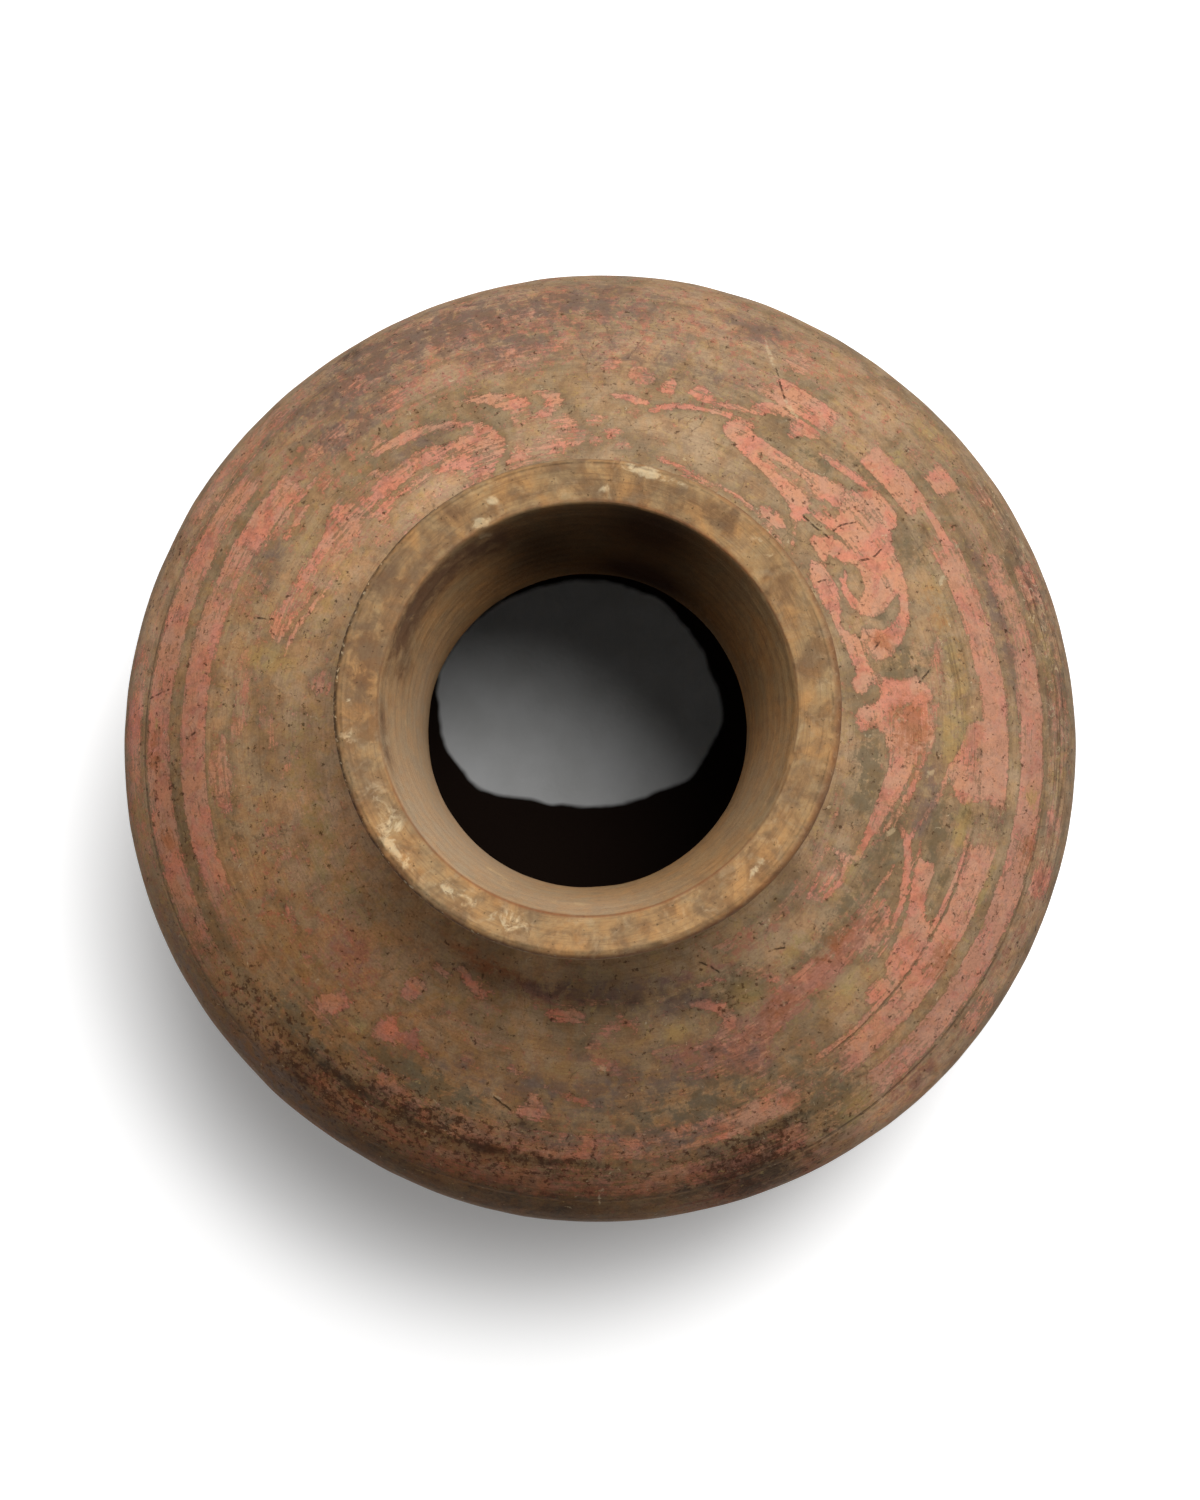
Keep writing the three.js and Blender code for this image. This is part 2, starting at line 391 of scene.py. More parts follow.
def mouth_rim_outline():
    _, slip_top, skin = seam("lip_slip")
    edge_rise = 0.12
    edge_drop = 1.2
    shelf = (LIP_RADIUS - LIP_SHELF_ROUND, skin + LIP_UNDERCUT)
    lip_centre = (LIP_RADIUS - LIP_ROUND, LIP_TOP - LIP_ROUND)
    edge_centre = (LIP_INNER_RADIUS + LIP_EDGE_ROUND, MOUTH_HEIGHT - LIP_EDGE_ROUND)
    shelf_foot = (shelf[0], shelf[1] - LIP_SHELF_ROUND)
    edge_top = (edge_centre[0], MOUTH_HEIGHT + edge_rise)
    return [
        (LIP_LAP_RADIUS, slip_top),
        *over_slip("lip_slip", NECK_TOP_RADIUS),
        *straight((NECK_TOP_RADIUS, skin + SKIN_GAP), shelf_foot, FINE_STEP),
        *rounded(shelf, LIP_SHELF_ROUND, -90, 0, ROUND_STEP)[1:],
        *straight((LIP_RADIUS, shelf[1] + FINE_STEP), (LIP_RADIUS, lip_centre[1]), FINE_STEP),
        *rounded(lip_centre, LIP_ROUND, 0, 86, ROUND_STEP),
        *grooved(straight((lip_centre[0], LIP_TOP), edge_top, LIP_TOP_STEP)),
        *rounded(edge_centre, LIP_EDGE_ROUND, 100, 165, LIP_EDGE_STEP),
        *flare_arc(NECK_INNER, MOUTH_HEIGHT - edge_drop, LIP_LAP_TOP + SKIN_GAP, FINE_STEP),
        (LIP_LAP_RADIUS, LIP_LAP_TOP + SKIN_GAP),
    ]


def foot_ring_outline():
    slip_foot = seam("foot_slip")[0]
    edge = FOOT_EDGE_ROUND
    outer = flare_arc((BASE_RADIUS, slip_foot, FOOT_RADIUS, FOOT_BOTTOM), edge, slip_foot, OUTER_STEP)
    outer_centre = (FOOT_RADIUS - edge, edge)
    inner_centre = (FOOT_RADIUS - FOOT_WALL + edge, edge)
    return [
        *rounded(inner_centre, edge, 200, 270, FOOT_ROUND_STEP),
        *straight((inner_centre[0] + FOOT_FLAT_START, 0), (outer_centre[0], 0), FOOT_STEP),
        *rounded(outer_centre, edge, -90, -20, FOOT_ROUND_STEP),
        *outer,
        *under_slip("foot_slip", BASE_RADIUS),
        *((radius - FOOT_WALL, height) for radius, height in reversed(outer)),
    ]


def base_disc_outline():
    bowl_foot = seam("base_slip")[0]
    _, foot_top, foot_skin = seam("foot_slip")
    floor_radius = FLOOR_EDGE - LAP_ROOM
    return [
        *straight((0.0, foot_top), (BASE_RADIUS - SLIP_INSET, foot_top), UNDERSIDE_STEP),
        *over_slip("foot_slip", BASE_RADIUS)[1:],
        (BASE_RADIUS, foot_skin + SKIN_GAP),
        *belly_arc(LOWER_OUTER, foot_top, bowl_foot, OUTER_STEP),
        *under_slip("base_slip", belly_radius(LOWER_OUTER, bowl_foot)),
        (floor_radius, bowl_foot),
        *straight((floor_radius, FLOOR_TOP), (0.0, FLOOR_TOP), FLOOR_STEP),
        (0.0, FLOOR_TOP),
    ]


def slip_outline(node, inner_radius, outer_radius):
    """A layer of slip, drawn back behind the smoothed skins of its joint."""
    foot, top, _ = seam(node)
    outer = outer_radius - SLIP_INSET - SKIN_GAP
    return [(inner_radius, foot), (outer, foot), (outer, top), (inner_radius, top)]


class Nodes:
    """Adds nodes to a tree and joins them up."""

    def __init__(self, tree):
        self.tree = tree

    def add(self, kind, inputs=(), **settings):
        node = self.tree.nodes.new(kind)
        for key, value in settings.items():
            setattr(node, key, value)
        for key, value in dict(inputs).items():
            self.feed(node.inputs[key], value)
        return node

    def feed(self, socket, value):
        if isinstance(value, bpy.types.NodeSocket):
            self.tree.links.new(value, socket)
        else:
            socket.default_value = value

    def sum(self, operation, first, second=0.0, clamp=False):
        """One step of arithmetic."""
        inputs = {0: first, 1: second}
        return self.add("ShaderNodeMath", inputs, operation=operation, use_clamp=clamp).outputs[0]

    def plus(self, first, second):
        return self.sum("ADD", first, second)

    def less(self, first, second):
        return self.sum("SUBTRACT", first, second)

    def times(self, first, second):
        return self.sum("MULTIPLY", first, second)

    def swing(self, noise, amount):
        """A noise of about 0 to 1, moved to swing about 0."""
        return self.times(self.less(noise, 0.5), amount)

    def vector(self, operation, first, second=(0.0, 0.0, 0.0)):
        return self.add("ShaderNodeVectorMath", {0: first, 1: second}, operation=operation).outputs["Vector"]

    def scaled(self, vector, scale):
        inputs = {0: vector, "Scale": scale}
        return self.add("ShaderNodeVectorMath", inputs, operation="SCALE").outputs["Vector"]

    def apart(self, vector):
        """The X, Y and Z of a vector."""
        return self.add("ShaderNodeSeparateXYZ", {0: vector}).outputs

    def joined(self, x=0.0, y=0.0, z=0.0):
        return self.add("ShaderNodeCombineXYZ", {"X": x, "Y": y, "Z": z}).outputs[0]

    def distance(self, places, centre):
        return self.add("ShaderNodeVectorMath", {0: places, 1: centre}, operation="DISTANCE").outputs["Value"]

    def share(self, value, low, high, first=0.0, last=1.0, slope="LINEAR"):
        """First below low, last above high, and an even slope between."""
        return self.add("ShaderNodeMapRange", {
            "Value": value, "From Min": low, "From Max": high, "To Min": first, "To Max": last},
            interpolation_type=slope).outputs[0]

    def rise(self, value, low, high, first=0.0, last=1.0):
        """First below low, last above high, and a smooth step between."""
        return self.share(value, low, high, first, last, "SMOOTHSTEP")


# Turned walls, made by a tree of geometry nodes that turns an outline and lets it wander by hand

HAND_INPUTS = ("wobble", "wobble_size", "dents", "dent_size", "ring_depth", "ring_pitch", "mouth_oval")
WALL_INPUTS = (
    ("outline", "NodeSocketGeometry"), ("turn_steps", "NodeSocketInt"), ("finish", "NodeSocketMaterial"),
    *((name, "NodeSocketFloat") for name in (*HAND_INPUTS, "oval_foot", "oval_top", "sharp_angle", "seed")))
MERGE_DISTANCE = 0.002
HAND_SEED = 3.0
SHARP_ANGLE = math.radians(40)
RING_DRIFT = 3.0


def turned_wall_tree():
    """Turns the outline that it is given, with named inputs for the hand's unevenness."""
    tree = bpy.data.node_groups.new("Turned wall", "GeometryNodeTree")
    for name, kind in WALL_INPUTS:
        tree.interface.new_socket(name, in_out="INPUT", socket_type=kind)
    tree.interface.new_socket("wall", in_out="OUTPUT", socket_type="NodeSocketGeometry")
    nodes = Nodes(tree)
    given = nodes.add("NodeGroupInput").outputs

    def shaped(kind, wall, inputs=(), **settings):
        """The wall after a node that changes it."""
        return nodes.add("GeometryNode" + kind, {"Geometry": wall, **dict(inputs)}, **settings).outputs[0]

    outline = given["outline"]
    count = nodes.add("GeometryNodeAttributeDomainSize", {"Geometry": outline}).outputs["Point Count"]
    grid = nodes.add("GeometryNodeMeshGrid", {
        "Size X": 1.0, "Size Y": 1.0, "Vertices X": count,
        "Vertices Y": nodes.plus(given["turn_steps"], 1.0)})
    flat = nodes.apart(nodes.add("GeometryNodeInputPosition").outputs[0])
    row = nodes.sum("ROUND", nodes.times(nodes.plus(flat["X"], 0.5), nodes.less(count, 1.0)))
    around = nodes.times(nodes.plus(flat["Y"], 0.5), -2 * math.pi)
    drawn = nodes.add("GeometryNodeSampleIndex", {
        "Geometry": outline, "Value": nodes.add("GeometryNodeInputPosition").outputs[0], "Index": row},
        data_type="FLOAT_VECTOR", domain="POINT")
    place = nodes.apart(drawn.outputs[0])
    turned = nodes.joined(
        nodes.times(place["X"], nodes.sum("COSINE", around)),
        nodes.times(place["X"], nodes.sum("SINE", around)), place["Z"])
    wall = shaped("SetPosition", grid.outputs["Mesh"], {"Position": turned})
    wall = shaped("MergeByDistance", wall, {"Distance": MERGE_DISTANCE * MM})

    position = nodes.add("GeometryNodeInputPosition").outputs[0]
    here = nodes.apart(position)
    outward = nodes.vector("NORMALIZE", nodes.joined(here["X"], here["Y"]))

    def hand(size, label):
        """An unevenness of about -1 to 1, in bulges of the given size."""
        noise = nodes.add("ShaderNodeTexNoise", {
            "Vector": position, "W": given["seed"], "Scale": nodes.sum("DIVIDE", 1.0, size),
            "Detail": 1.0, "Roughness": 0.4}, noise_dimensions="4D", label=label)
        return nodes.swing(noise.outputs[0], 3.0)

    slow = nodes.times(hand(given["wobble_size"], "Slow wander"), given["wobble"])
    quick = nodes.times(hand(given["dent_size"], "Hand marks"), given["dents"])
    turn = nodes.times(nodes.sum("DIVIDE", here["Z"], given["ring_pitch"]), 2 * math.pi)
    drift = nodes.times(hand(given["wobble_size"], "Ring drift"), RING_DRIFT)
    ridge = nodes.times(nodes.sum("SINE", nodes.plus(turn, drift)), given["ring_depth"])
    push = nodes.scaled(outward, nodes.plus(nodes.plus(slow, quick), ridge))
    oval = nodes.share(here["Z"], given["oval_foot"], given["oval_top"], 0.0, given["mouth_oval"])
    squeeze = nodes.joined(nodes.times(here["X"], oval), nodes.times(nodes.times(here["Y"], oval), -1.0))
    wall = shaped("SetPosition", wall, {"Offset": nodes.vector("ADD", push, squeeze)})

    bend = nodes.add("GeometryNodeInputMeshEdgeAngle").outputs[0]
    crease = nodes.sum("LESS_THAN", bend, given["sharp_angle"])
    wall = shaped("SetShadeSmooth", wall, {"Shade Smooth": True}, domain="FACE")
    wall = shaped("SetShadeSmooth", wall, {"Shade Smooth": crease}, domain="EDGE")
    wall = shaped("RealizeInstances", wall)
    wall = shaped("SetMaterial", wall, {"Material": given["finish"]})
    tree.links.new(wall, nodes.add("NodeGroupOutput").inputs[0])
    return tree


def turned_piece(name, outline, turn_steps, finish):
    """A wall turned from an outline in millimetres, as a plain mesh in metres at the origin."""
    places = [(radius * MM, 0.0, height * MM) for radius, height in outline]
    if outline[0][0] > 0:
        places.append(places[0])
    drawing = bpy.data.meshes.new(name + "_outline")
    drawing.from_pydata(places, [(i, i + 1) for i in range(len(places) - 1)], [])
    piece = bpy.data.objects.new(name, drawing)
    bpy.context.scene.collection.objects.link(piece)
    tree = bpy.data.node_groups.get("Turned wall") or turned_wall_tree()
    shape = bpy.context.scene.jar_shape
    values = {
        "turn_steps": turn_steps, "oval_foot": (GIRTH_HEIGHT - OVAL_START) * MM, "oval_top": LIP_TOP * MM,
        "sharp_angle": SHARP_ANGLE, "seed": HAND_SEED, "finish": finish}
    values.update({label: getattr(shape, label) for label in HAND_INPUTS})
    turning = piece.modifiers.new("Turned wall", "NODES")
    turning.node_group = tree
    for socket in tree.interface.items_tree:
        if socket.name in values:
            turning[socket.identifier] = values[socket.name]
    mesh = bpy.data.meshes.new_from_object(piece.evaluated_get(bpy.context.evaluated_depsgraph_get()))
    piece.modifiers.clear()
    piece.data = mesh
    mesh.name = name
    bpy.data.meshes.remove(drawing)
    if not mesh.polygons:
        raise RuntimeError(f"{name} came out empty")
    return piece


def vertex_rows(vertices, name):
    """One row of three values for each vertex."""
    flat = np.empty(len(vertices) * 3)
    vertices.foreach_get(name, flat)
    return flat.reshape(-1, 3)


def mesh_places(piece):
    """Plan x and y, height, radius and angle of every vertex, in millimetres and radians."""
    x, y, z = vertex_rows(piece.data.vertices, "co").T / MM
    return x, y, z, np.hypot(x, y), np.arctan2(y, x)


def faces_axis(piece):
    """True for the vertices of the inner wall, whose normals point at the axis."""
    least_turn = 0.02
    normals = vertex_rows(piece.data.vertex_normals, "vector")
    x, y, _, radius, _ = mesh_places(piece)
    return normals[:, 0] * x + normals[:, 1] * y < -least_turn * np.maximum(radius, 1.0)


def move_places(piece, x, y, z):
    piece.data.vertices.foreach_set("co", np.stack([x, y, z], axis=1).ravel() * MM)
    piece.data.update()


def shift_throat(piece):
    """Moves the throat a little off the axis, as the potter's hand left it."""
    x, y, z, radius, _ = mesh_places(piece)
    wall = flare_radius(NECK_INNER, np.maximum(z, THROAT_HEIGHT))
    skin = faces_axis(piece) & ((z < THROAT_HEIGHT) | (radius < wall + THROAT_SKIN))
    above = (MOUTH_HEIGHT - z) / (MOUTH_HEIGHT - THROAT_HEIGHT)
    below = (z - THROAT_HEIGHT + THROAT_FADE) / THROAT_FADE
    share = np.clip(np.minimum(above, below), 0, 1) * skin
    move_places(piece, x + THROAT_SHIFT[0] * share, y + THROAT_SHIFT[1] * share, z)


def chip(piece, nicks):
    """Knocks small nicks into an edge."""
    x, y, z, _, _ = mesh_places(piece)
    normals = vertex_rows(piece.data.vertex_normals, "vector")
    push = np.zeros(x.shape)
    for degrees, radius, height, size, depth in nicks:
        a = math.radians(degrees)
        away = np.sqrt((x - radius * math.cos(a)) ** 2 + (y - radius * math.sin(a)) ** 2 + (z - height) ** 2)
        push = np.maximum(push, depth * np.clip(1 - (away / size) ** 2, 0, 1))
    move_places(piece, x - normals[:, 0] * push, y - normals[:, 1] * push, z - normals[:, 2] * push)


def keep_field(piece, name, values):
    layer = piece.data.attributes.new(name, "FLOAT", "POINT")
    layer.data.foreach_set("value", np.ascontiguousarray(values, dtype=np.float32))


# Painted marks. Each passes through places of (degrees, radius) or (degrees, radius, half width) on the
# plan of the jar, in millimetres. Keep is the share of the paint that wear has left, and 0 is bare ground.

REACH = 4.0
SPAN_STEPS = 8


def stroke(keep, *places):
    return "stroke", keep, places


def patch(keep, *places):
    return "patch", keep, places


def worn(keep, *places):
    """A place inside other marks where less of their paint is left."""
    return "worn", keep, places


def smooth_path(places, closed):
    """A curve through a few places, with a fixed number of steps in each span."""
    points = np.array(places, float)
    if closed:
        padded = np.concatenate([points[-1:], points, points[:2]])
    else:
        padded = np.concatenate([2 * points[:1] - points[1:2], points, 2 * points[-1:] - points[-2:-1]])
    t = np.linspace(0, 1, SPAN_STEPS, endpoint=False)[:, None]
    spans = []
    for a, b, c, d in zip(padded, padded[1:], padded[2:], padded[3:]):
        spans.append(0.5 * (2 * b + (c - a) * t + (2 * a - 5 * b + 4 * c - d) * t ** 2
                            + (3 * b - a - 3 * c + d) * t ** 3))
    spans.append(points[:1] if closed else points[-1:])
    return np.concatenate(spans)


def on_plan(path):
    angle = np.radians(path[:, 0])
    return np.stack([path[:, 1] * np.cos(angle), path[:, 1] * np.sin(angle)], axis=1)


def line_depth(x, y, line, widths):
    """How deep each place lies inside a line of changing half width; less than 0 is outside."""
    depth = np.full(x.shape, -REACH)
    for start, end, first, last in zip(line, line[1:], widths, widths[1:]):
        run = end - start
        along = ((x - start[0]) * run[0] + (y - start[1]) * run[1]) / max(run @ run, 1e-9)
        along = np.clip(along, 0, 1)
        away = np.hypot(x - start[0] - along * run[0], y - start[1] - along * run[1])
        depth = np.maximum(depth, first + (last - first) * along - away)
    return depth


def within(x, y, line):
    """True for the places inside a closed outline."""
    inside = np.zeros(x.shape, bool)
    for start, end in zip(line, line[1:]):
        if start[1] == end[1]:
            continue
        crosses = (start[1] > y) != (end[1] > y)
        inside ^= crosses & (x < start[0] + (y - start[1]) * (end[0] - start[0]) / (end[1] - start[1]))
    return inside


def mark_depth(x, y, mark):
    """Depth inside one mark for all places, and -REACH for those far from it."""
    kind, _, places = mark
    closed = kind != "stroke"
    path = smooth_path(places, closed)
    line = on_plan(path)
    widths = np.zeros(len(path)) if closed else path[:, 2]
    margin = REACH + widths.max()
    near = (x > line[:, 0].min() - margin) & (x < line[:, 0].max() + margin)
    near &= (y > line[:, 1].min() - margin) & (y < line[:, 1].max() + margin)
    depth = np.full(x.shape, -REACH)
    found = line_depth(x[near], y[near], line, widths)
    if closed:
        found = np.where(within(x[near], y[near], line), -found, found)
    depth[near] = np.clip(found, -REACH, REACH)
    return depth


class Coat:
    """The paint on a wall: how deep each place lies inside it, and how much of it wear has left."""

    def __init__(self, x, y):
        self.x = x
        self.y = y
        self.depth = np.full(x.shape, -REACH)
        self.keep = np.zeros(x.shape)

    def lay(self, mark):
        depth = mark_depth(self.x, self.y, mark)
        kind, keep, _ = mark
        if kind == "worn":
            self.keep = np.where(depth > 0, np.minimum(self.keep, keep), self.keep)
        elif keep > 0:
            self.cover(depth, keep)
        else:
            self.depth = np.minimum(self.depth, -depth)

    def cover(self, depth, keep):
        wins = depth > self.depth
        self.depth = np.where(wins, depth, self.depth)
        self.keep = np.where(wins, keep, self.keep)


def round_values(angle, places):
    """Values given at a few angles, joined round the jar. Places are (degrees, value) in rising order."""
    degrees = np.array([p[0] for p in places], float)
    values = np.array([p[1] for p in places], float)
    return np.interp(np.degrees(angle) % 360, degrees, values, period=360)


# Painted bands: inner and outer radius about their own centre, and the share left round the jar

BAND_CENTRE = (-0.9, -2.7)
INNER_BAND = (120.2, 128.2, (
    (0, 0.92), (15, 0.9), (22, 0.85), (28, 0.8), (31, 0.2), (34, 0.3), (36, 0.95), (45.6, 0.95),
    (46.4, 0.35), (52, 0.4), (53, 0.92), (61.5, 0.92), (64, 0.5), (70, 0.45), (71, 0.1), (78, 0.2),
    (92, 0.42), (97, 0.5), (99, 0.64), (106, 0.6), (108, 0.45), (116.5, 0.4), (118, 0.66), (121, 0.66),
    (122.5, 0.42), (129, 0.42), (130, 0.64), (135, 0.62), (136.5, 0.36), (139.4, 0.36), (140, 0.88),
    (150, 0.88), (158, 0.62), (165, 0.88), (180, 0.97), (200, 0.97), (204, 0.5), (210, 0.3), (218, 0.24),
    (230, 0.28), (236, 0.35), (238, 0.82), (240, 0.75), (242, 0.56), (252, 0.62), (265, 0.7), (275, 0.7),
    (285, 0.76), (297, 0.78), (300, 0.4), (305, 0.3), (307, 0.88), (315, 0.95), (325, 0.88), (335, 0.97),
    (343, 0.9), (345, 0.3), (349, 0.35), (351, 0.95)))
OUTER_BAND = (132.2, 139.6, (
    (0, 0.96), (8, 0.86), (13, 0.8), (20, 0.75), (26, 0.4), (31, 0.2), (34.4, 0.25), (35, 0.85),
    (38.2, 0.85), (39, 0.25), (50, 0.22), (59.6, 0.3), (60.4, 0.68), (63.4, 0.68), (64.4, 0.18), (75, 0.3),
    (90, 0.3), (98, 0.55), (101, 0.4), (108, 0.46), (122, 0.38), (123, 0.68), (126.6, 0.66), (127.6, 0.28),
    (140, 0.32), (142.5, 0.4), (143.5, 0.75), (155, 0.82), (165, 0.93), (185, 0.97), (200, 0.95), (206, 0.6),
    (212, 0.28), (225, 0.35), (235, 0.6), (245, 0.64), (255, 0.62), (265, 0.68), (275, 0.66), (281, 0.66),
    (284, 0.74), (291, 0.76), (297, 0.7), (299, 0.08), (306, 0.1), (310, 0.82), (320, 0.92), (340, 0.94),
    (350, 0.94)))
GIRTH_BAND = (142.2, 147.8, (
    (0, 0.58), (8, 0.58), (9, 0.2), (16.5, 0.2), (17.5, 0.85), (22, 0.85), (23, 0.2), (30, 0.2), (31, 0.55),
    (33.6, 0.55), (34.5, 0.2), (60, 0.26), (90, 0.32), (128, 0.46), (135, 0.6), (150, 0.6), (155, 0.2),
    (166, 0.3), (178, 0.85), (192, 0.6), (200, 0.3), (230, 0.2), (260, 0.08), (276, 0.1), (284, 0.6),
    (290, 0.6), (293, 0.2), (297, 0.6), (299, 0.5), (301, 0.15), (306, 0.3), (321, 0.2), (322, 0.75),
    (326.4, 0.75), (327.5, 0.25), (339.5, 0.25), (340.4, 0.85), (344, 0.85), (345, 0.2), (348, 0.3),
    (350, 0.58), (352, 0.25), (357, 0.3)))
THIN_BAND = (118.2, 119.6, (
    (0, 0.1), (40, 0.1), (60, 0.05), (118, 0.4), (124, 0.4), (128, 0.1), (139, 0.8), (149, 0.8), (152, 0.1),
    (222, 0.1), (223, 0.8), (227, 0.8), (229, 0.1), (234, 0.7), (239, 0.7), (241, 0.1), (290, 0.1),
    (293, 0.8), (299, 0.8), (301, 0.1), (307, 0.95), (325, 0.95), (340, 0.95), (344, 0.9), (346, 0.1)))
BANDS = (("inner_band", *INNER_BAND), ("outer_band", *OUTER_BAND), ("girth_band", *GIRTH_BAND),
         ("thin_band", *THIN_BAND))

# Cloud scroll at the upper right

SCROLL_UPPER_RIGHT = (
    stroke(0.98, (80, 101.6, 0.9), (76, 104.4, 0.9), (72, 105.7, 0.8), (66, 107.1, 0.6)),
    patch(0.93, (67.3, 103), (65.5, 107), (63.2, 107.8), (62.2, 104.8), (58, 104.2), (52, 104),
          (48.5, 105.6), (45, 108), (42.6, 110), (41.8, 113.5), (40, 115.4), (36.5, 115.2), (34.7, 113),
          (34.2, 110.3), (31, 108), (26, 106), (22, 104), (18.5, 101), (15.8, 97), (14.2, 93), (14, 90),
          (15.2, 87.2), (17.5, 85.8), (19.8, 86.4), (20.8, 88.6), (20, 91.5), (19.4, 94), (20.2, 97.5),
          (21.8, 100.5), (24.5, 102.6), (23.8, 99.5), (22.5, 96), (22.3, 93), (23.2, 89.6), (25.5, 87.4),
          (29, 87), (31.5, 88), (35, 87), (38, 87.5), (41, 88), (42, 90.5), (40, 93), (43, 95), (45.5, 91),
          (47.2, 88.8), (48.5, 91), (51, 92.7), (56, 94.6), (60.5, 96.6), (64.5, 99), (66.8, 101)),
    patch(0, (32.4, 95), (29, 94.3), (26.6, 92), (26.8, 89.9), (29.5, 89), (31.5, 90.5), (34, 92.5)),
    patch(0, (37, 89.8), (34.5, 92), (32.2, 91.2), (31.6, 89), (33.5, 87.3), (36, 87.6)),
    stroke(0, (47.2, 97.4, 0.7), (44, 100.4, 0.8), (41.5, 102.3, 0.4)),
    stroke(0, (45.5, 93, 0.9), (41, 94.6, 1.0), (38, 96.2, 0.7), (35.5, 96.6, 0.3)),
    worn(0.5, (60, 100.4), (56, 100.9), (50, 100.7), (46, 99.8), (46, 97.8), (50, 97.4), (55, 97.6),
         (59, 98.4)),
    worn(0.45, (46.5, 99.6), (43.5, 101.2), (41.6, 100.4), (42.4, 97.4), (44.2, 95.2), (46.4, 95)),
    stroke(0.92, (51, 111, 0.8), (47, 112, 1.3), (43, 113.2, 1.0)),
    patch(0.9, (64.6, 110.4), (63.8, 114.4), (61.6, 117), (59.2, 117), (59, 115), (61.2, 113.6),
          (62.8, 111.2)),
    patch(0.86, (58.8, 116), (56, 116.6), (53.2, 116.2), (53.4, 114), (55.6, 112), (56.8, 109.4),
          (57.6, 112.6)),
    patch(0.8, (75, 109), (73.4, 112.6), (71.4, 111.6), (70, 109.6), (66, 111.6), (64.6, 110), (70, 108)),
    patch(0.8, (79.6, 109), (78.4, 112), (77, 111.6), (77.2, 107.2), (78.6, 107.4)),
    patch(0.72, (85, 111.8), (83.8, 115.2), (81.4, 114.2), (80.6, 110.4), (82.8, 109.8)),
    patch(0.68, (89.2, 115), (87.4, 117.8), (85.8, 116.8), (87, 113.2), (88.6, 113)),
    stroke(0.86, (86.6, 105, 0.9), (84, 104.2, 1.2), (81.2, 103.2, 0.9)),
    patch(0.55, (84.6, 100), (83, 101.4), (82.2, 100), (83.4, 98.8)),
    patch(0.62, (92, 95.6), (90.4, 98), (88.4, 97), (89.6, 94.6)),
    patch(0.56, (88, 93), (86, 94.6), (84.6, 92.4), (86.8, 91)),
    patch(0.56, (91.4, 90.4), (89.4, 91.4), (88.2, 89.6), (90.4, 88.2)),
    patch(0.5, (86, 89.6), (84, 90), (82.8, 88.4), (85.4, 87.6)),
    stroke(0.72, (77, 86.6, 0.5), (70, 84.7, 0.9), (63.5, 83.2, 0.6)),
    stroke(0.8, (64, 84.9, 0.3), (56, 84, 0.45), (50, 82.2, 0.4), (44, 80.8, 0.3)),
    stroke(0.75, (46, 88.4, 0.3), (43.6, 84, 0.4), (42, 81.4, 0.3)),
    stroke(0.9, (35.4, 124.2, 0.9), (32, 124, 1.2), (27.6, 123.4, 1.6)),
    patch(0.8, (53.6, 85.8), (51.5, 87.4), (49, 87.4), (47.2, 85.6), (48.2, 83.6), (51.2, 83.5)),
    stroke(0, (51.6, 86.7, 0.3), (50.4, 86.5, 0.4)),
    patch(0.9, (37.9, 84.8), (36, 86.6), (32, 86.4), (28, 85.4), (25.2, 83.4), (22.5, 82.2), (20.6, 84),
          (19, 85.9), (15.6, 85.9), (12.4, 87.2), (10.8, 89.4), (9.9, 93), (9.7, 97), (10.2, 99.8),
          (8.6, 101.4), (7, 104.6), (5.6, 104), (4.8, 100), (5, 96), (3.4, 92), (0, 91.6), (-2.5, 92.4),
          (-3.5, 90.6), (-0.5, 88.2), (0.6, 85), (-0.6, 82), (1.2, 80), (4.4, 80.4), (5.2, 83.4),
          (6.2, 87.6), (9, 88), (9.6, 85), (12, 82.2), (18, 81), (26, 80.2), (34, 80.6), (37, 82.4)),
    patch(0.85, (11.8, 82), (11.2, 84.4), (8.8, 84.6), (7.6, 82.6), (8.6, 80.2), (11, 80.2)),
    stroke(0.5, (15, 109.6, 1.3), (11, 107, 1.8), (7, 104.6, 1.6)),
    patch(0.75, (4.8, 105.2), (2, 104.4), (-1.5, 104), (-5, 101), (-9, 96), (-12, 93), (-3, 92.4), (3, 92.4),
          (4.9, 97)),
)

# Cloud scroll at the upper left

